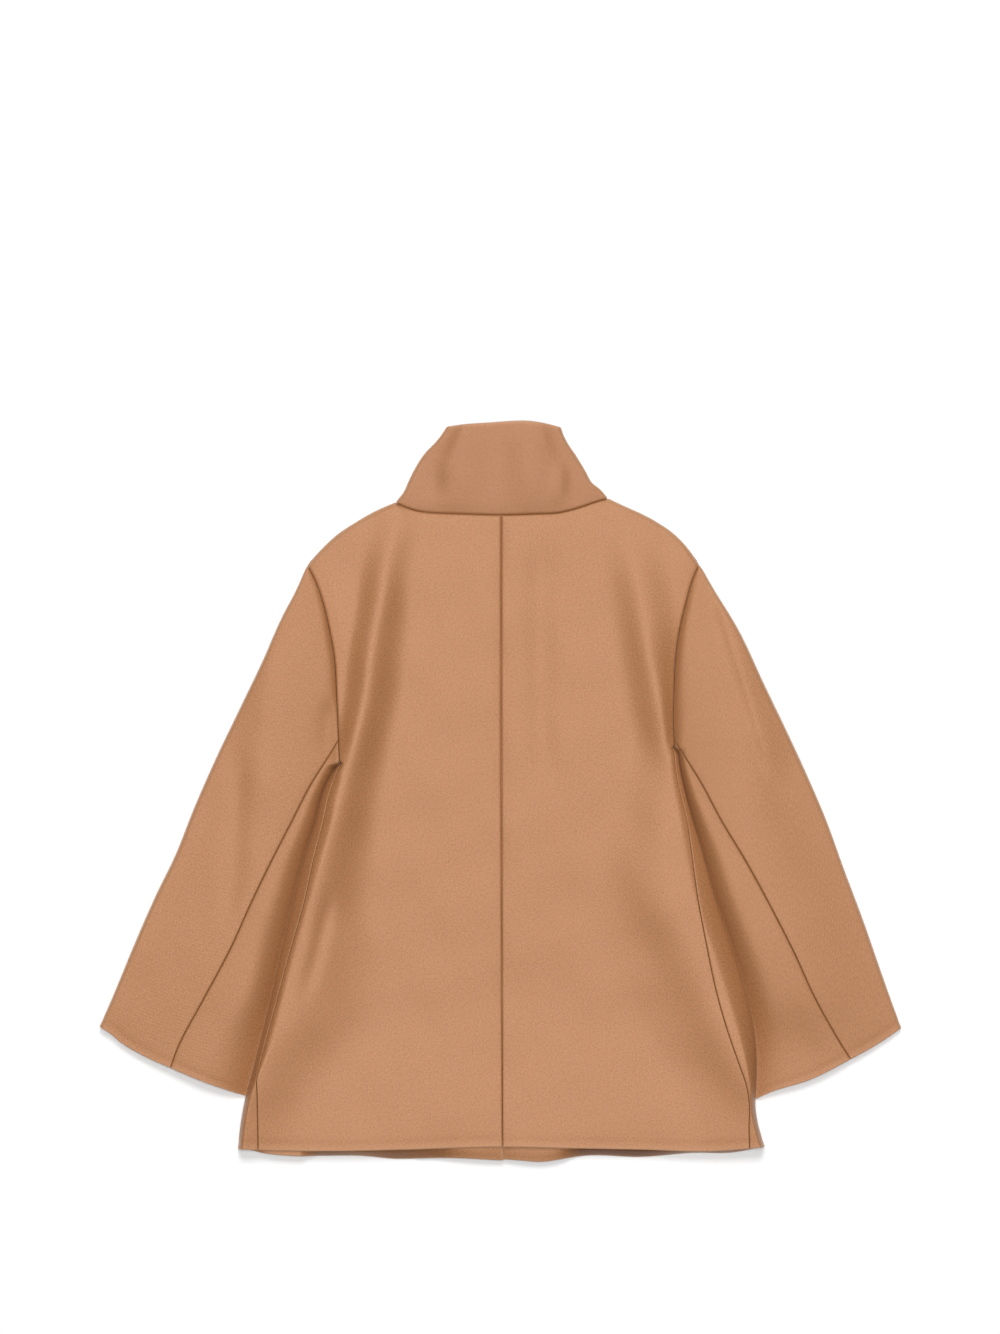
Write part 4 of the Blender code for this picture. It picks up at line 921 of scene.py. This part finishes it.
# Share of painted shade over the whole collar
COLLAR_SHADE_PAINT = 0.5
COLLAR_SIDE = {
    LEFT: table(
        "drop out",
        (-13.9, 111.3), (-24.7, 101.9), (-36.2, 96.6), (-48.8, 90.3), (-63.5, 80.9), (-79.3, 66.2),
        (-92.9, 56.7)),
    RIGHT: table(
        "drop out",
        (-17.9, 113.4), (-26.8, 105), (-35.2, 95), (-45.7, 89.3), (-61.4, 79.8), (-79.3, 68.3),
        (-92.3, 63)),
}
COLLAR_TOP = table(
    "x drop",
    (-56.7, -92.9), (-35.7, -95.6), (-13.7, -97.1), (10.5, -98.8), (25.2, -99.2), (43, -97.1),
    (63, -92.3))
COLLAR_FOLDS = table(
    "top bottom fade x_top x_middle x_bottom left right height",
    (-128, 12, 60, -38, -42, -48, 26, 30, 3),
    (-128, 12, 60, 26, 30, 34, 26, 28, 3.4),
    (-60, -10, 26, -70, -72, -74, 12, 13, -1.6),
    (-52, -14, 16, -96, -92, -86, 6, 8, 1),
    (-70, -4, 30, 68, 63, 57, 9, 10, 1.4),
    (-66, -6, 28, 85, 83, 79, 11, 10, -1.1))


def collar_plan(share, up, dip):
    """X and drop of a point of the collar at a share of its width and height: its folded edges
    joined straight, bent to follow the neck seam and top edge, and lower by the dip in front."""
    left = along(COLLAR_SIDE[LEFT], up) * np.array([LEFT, 1.0])
    right = along(COLLAR_SIDE[RIGHT], up) * np.array([RIGHT, 1.0])
    across = share[..., None]
    x, drop = np.moveaxis(left * (1 - across) + right * across, -1, 0)
    seam_x, seam_drop = np.moveaxis(left[:1] * (1 - across) + right[:1] * across, -1, 0)
    top_x, top_drop = np.moveaxis(left[-1:] * (1 - across) + right[-1:] * across, -1, 0)
    seam_bend = neck_drop(seam_x, 0.0) - SEAM_GAP / 2 - seam_drop
    top_bend = read(COLLAR_TOP, "drop", top_x, by="x") - top_drop
    hollow = dip * np.clip(1 - (2 * share - 1) ** 2, 0.0, 1.0)
    return x, drop + seam_bend * (1 - up) + top_bend * up + hollow


def funnel_collar():
    """The band from its end under the left half, round both folded edges, to its other end."""
    tall = COLLAR_SIDE[LEFT]["drop"][0] - COLLAR_SIDE[LEFT]["drop"][-1]
    up = stations(tall, COLLAR_STEP)[:, None]
    left = along(COLLAR_SIDE[LEFT], up)[..., 0]
    width = left + along(COLLAR_SIDE[RIGHT], up)[..., 0]
    roll = FOLD_ROLL / width
    left_end = (left + FRONT_EDGE_LEFT) / width
    right_end_x = FRONT_EDGE_RIGHT + (COLLAR_END_TOP - FRONT_EDGE_RIGHT) * up
    right_end = (left + right_end_x) / width
    left_part = 1 - stations(left[0, 0], COLLAR_END_STEP, crowd_end=False)
    right_part = stations(width[0, 0], COLLAR_END_STEP, crowd_start=False)
    back = stations(width.mean(), COLLAR_STEP, crowd_start=False, crowd_end=False)
    turn = np.linspace(0.0, np.pi, ROUND_COLUMNS)[1:-1]
    under_left = left_end + (roll - left_end) * (1 - left_part)
    on_back = roll + (1 - 2 * roll) * back
    under_right = 1 - roll + (right_end - 1 + roll) * right_part
    counts = [len(left_part), len(turn), len(back), len(turn), len(right_part)]
    splits = np.cumsum(counts)[:-1]
    dip = FRONT_NECK_DIP * np.repeat([1, 0, 0, 0, 1], counts)
    half = BODY_TOP / 2

    def face(depth):
        in_left, on_left, in_back, on_right, in_right = np.split(depth, splits, axis=1)
        left_fold = roll - (FOLD_ROLL - on_left) / width * np.sin(turn)
        right_fold = 1 - roll + (FOLD_ROLL - on_right) / width * np.sin(turn)
        share = np.hstack([under_left, left_fold, on_back, right_fold, under_right])
        x, drop = collar_plan(share, np.broadcast_to(up, share.shape), dip)
        over = OVERLAP_LIFT * over_end(x[:, :counts[0]], right_end_x) + in_left
        rising = half - (half - on_left) * np.cos(turn)
        falling = half + (half - on_right) * np.cos(turn)
        back_x, back_drop = x[:, splits[1]:splits[2]], drop[:, splits[1]:splits[2]]
        dents = folds(COLLAR_FOLDS, back_x, back_drop)
        top = BODY_TOP + dents * smoothstep(np.minimum(back, 1 - back) / COLLAR_FADE)
        height = np.hstack([over, rising, top - in_back, falling, in_right])
        return np.stack([x * MM, NAPE_Y - drop * MM, height * MM], axis=-1)

    flat_fold = roll + 0 * turn
    share = np.hstack([under_left, flat_fold, on_back, 1 - flat_fold, under_right])
    from_top = (1 - up) * tall + 0 * share
    ends = [np.abs(under_left - left_end) * width, np.abs(under_right - right_end) * width]
    inside = from_top[:, counts[0]:-counts[-1]] * 0 + tall
    from_hem = np.minimum(from_top, np.hstack([ends[0], inside, ends[1]]))
    grain = share * width * MM, up * tall * MM
    # Painted highlight along the collar's folded edges
    round_fold = roll * (1 - np.sin(turn))
    at_fold = np.hstack([under_left, round_fold, on_back, 1 - round_fold, under_right])
    from_fold = np.minimum(at_fold, 1 - at_fold) * width
    return sewn_wall("collar", face, up * tall + 0 * share, 1.0, from_hem, grain, True,
                     from_fold=from_fold, painted_shade=COLLAR_SHADE_PAINT)


collar = funnel_collar()
collar.data.materials.append(wool)
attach(collar, "root")
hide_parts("collar")


# Table top and light. The garment lies on a plain white table under one wide soft lamp straight
# above and a weaker one beyond its collar, in a bright white room, as in a studio flat lay.
TABLE_SIZE = 8.0
TABLE_COLOUR = (0.90, 0.90, 0.90, 1.0)
TABLE_ROUGHNESS = 0.9
LAMP_SIZE = 4.0
LAMP_HEIGHT = 12.0
LAMP_POWER = 1012.0
SOFTBOX_SIZE = 3.0
SOFTBOX_AWAY, SOFTBOX_HEIGHT = 4.5, 7.2
SOFTBOX_POWER = 355.0
ROOM_LIGHT = 0.08
ROOM_COLOUR = (1.0, 1.0, 1.0, 1.0)

bpy.ops.mesh.primitive_plane_add(size=TABLE_SIZE)
table_top = bpy.context.object
table_top.name = "table_top"
white = bpy.data.materials.new("white_table")
white.use_nodes = True
white.node_tree.nodes["Principled BSDF"].inputs["Base Color"].default_value = TABLE_COLOUR
white.node_tree.nodes["Principled BSDF"].inputs["Roughness"].default_value = TABLE_ROUGHNESS
table_top.data.materials.append(white)


def area_lamp(name, size, power, away, height):
    """A square lamp at a height and so far away beyond the collar, aimed at the origin."""
    lamp = bpy.data.objects.new(name, bpy.data.lights.new(name, "AREA"))
    lamp.data.size = size
    lamp.data.energy = power
    lamp.location = (0.0, away, height)
    lamp.rotation_euler = (-np.arctan2(away, height), 0.0, 0.0)
    bpy.context.scene.collection.objects.link(lamp)


area_lamp("lamp", LAMP_SIZE, LAMP_POWER, 0.0, LAMP_HEIGHT)
area_lamp("softbox", SOFTBOX_SIZE, SOFTBOX_POWER, SOFTBOX_AWAY, SOFTBOX_HEIGHT)

room = bpy.data.worlds.new("room")
room.use_nodes = True
room.node_tree.nodes["Background"].inputs["Color"].default_value = ROOM_COLOUR
room.node_tree.nodes["Background"].inputs["Strength"].default_value = ROOM_LIGHT
bpy.context.scene.world = room
bpy.context.scene.view_settings.view_transform = "Standard"
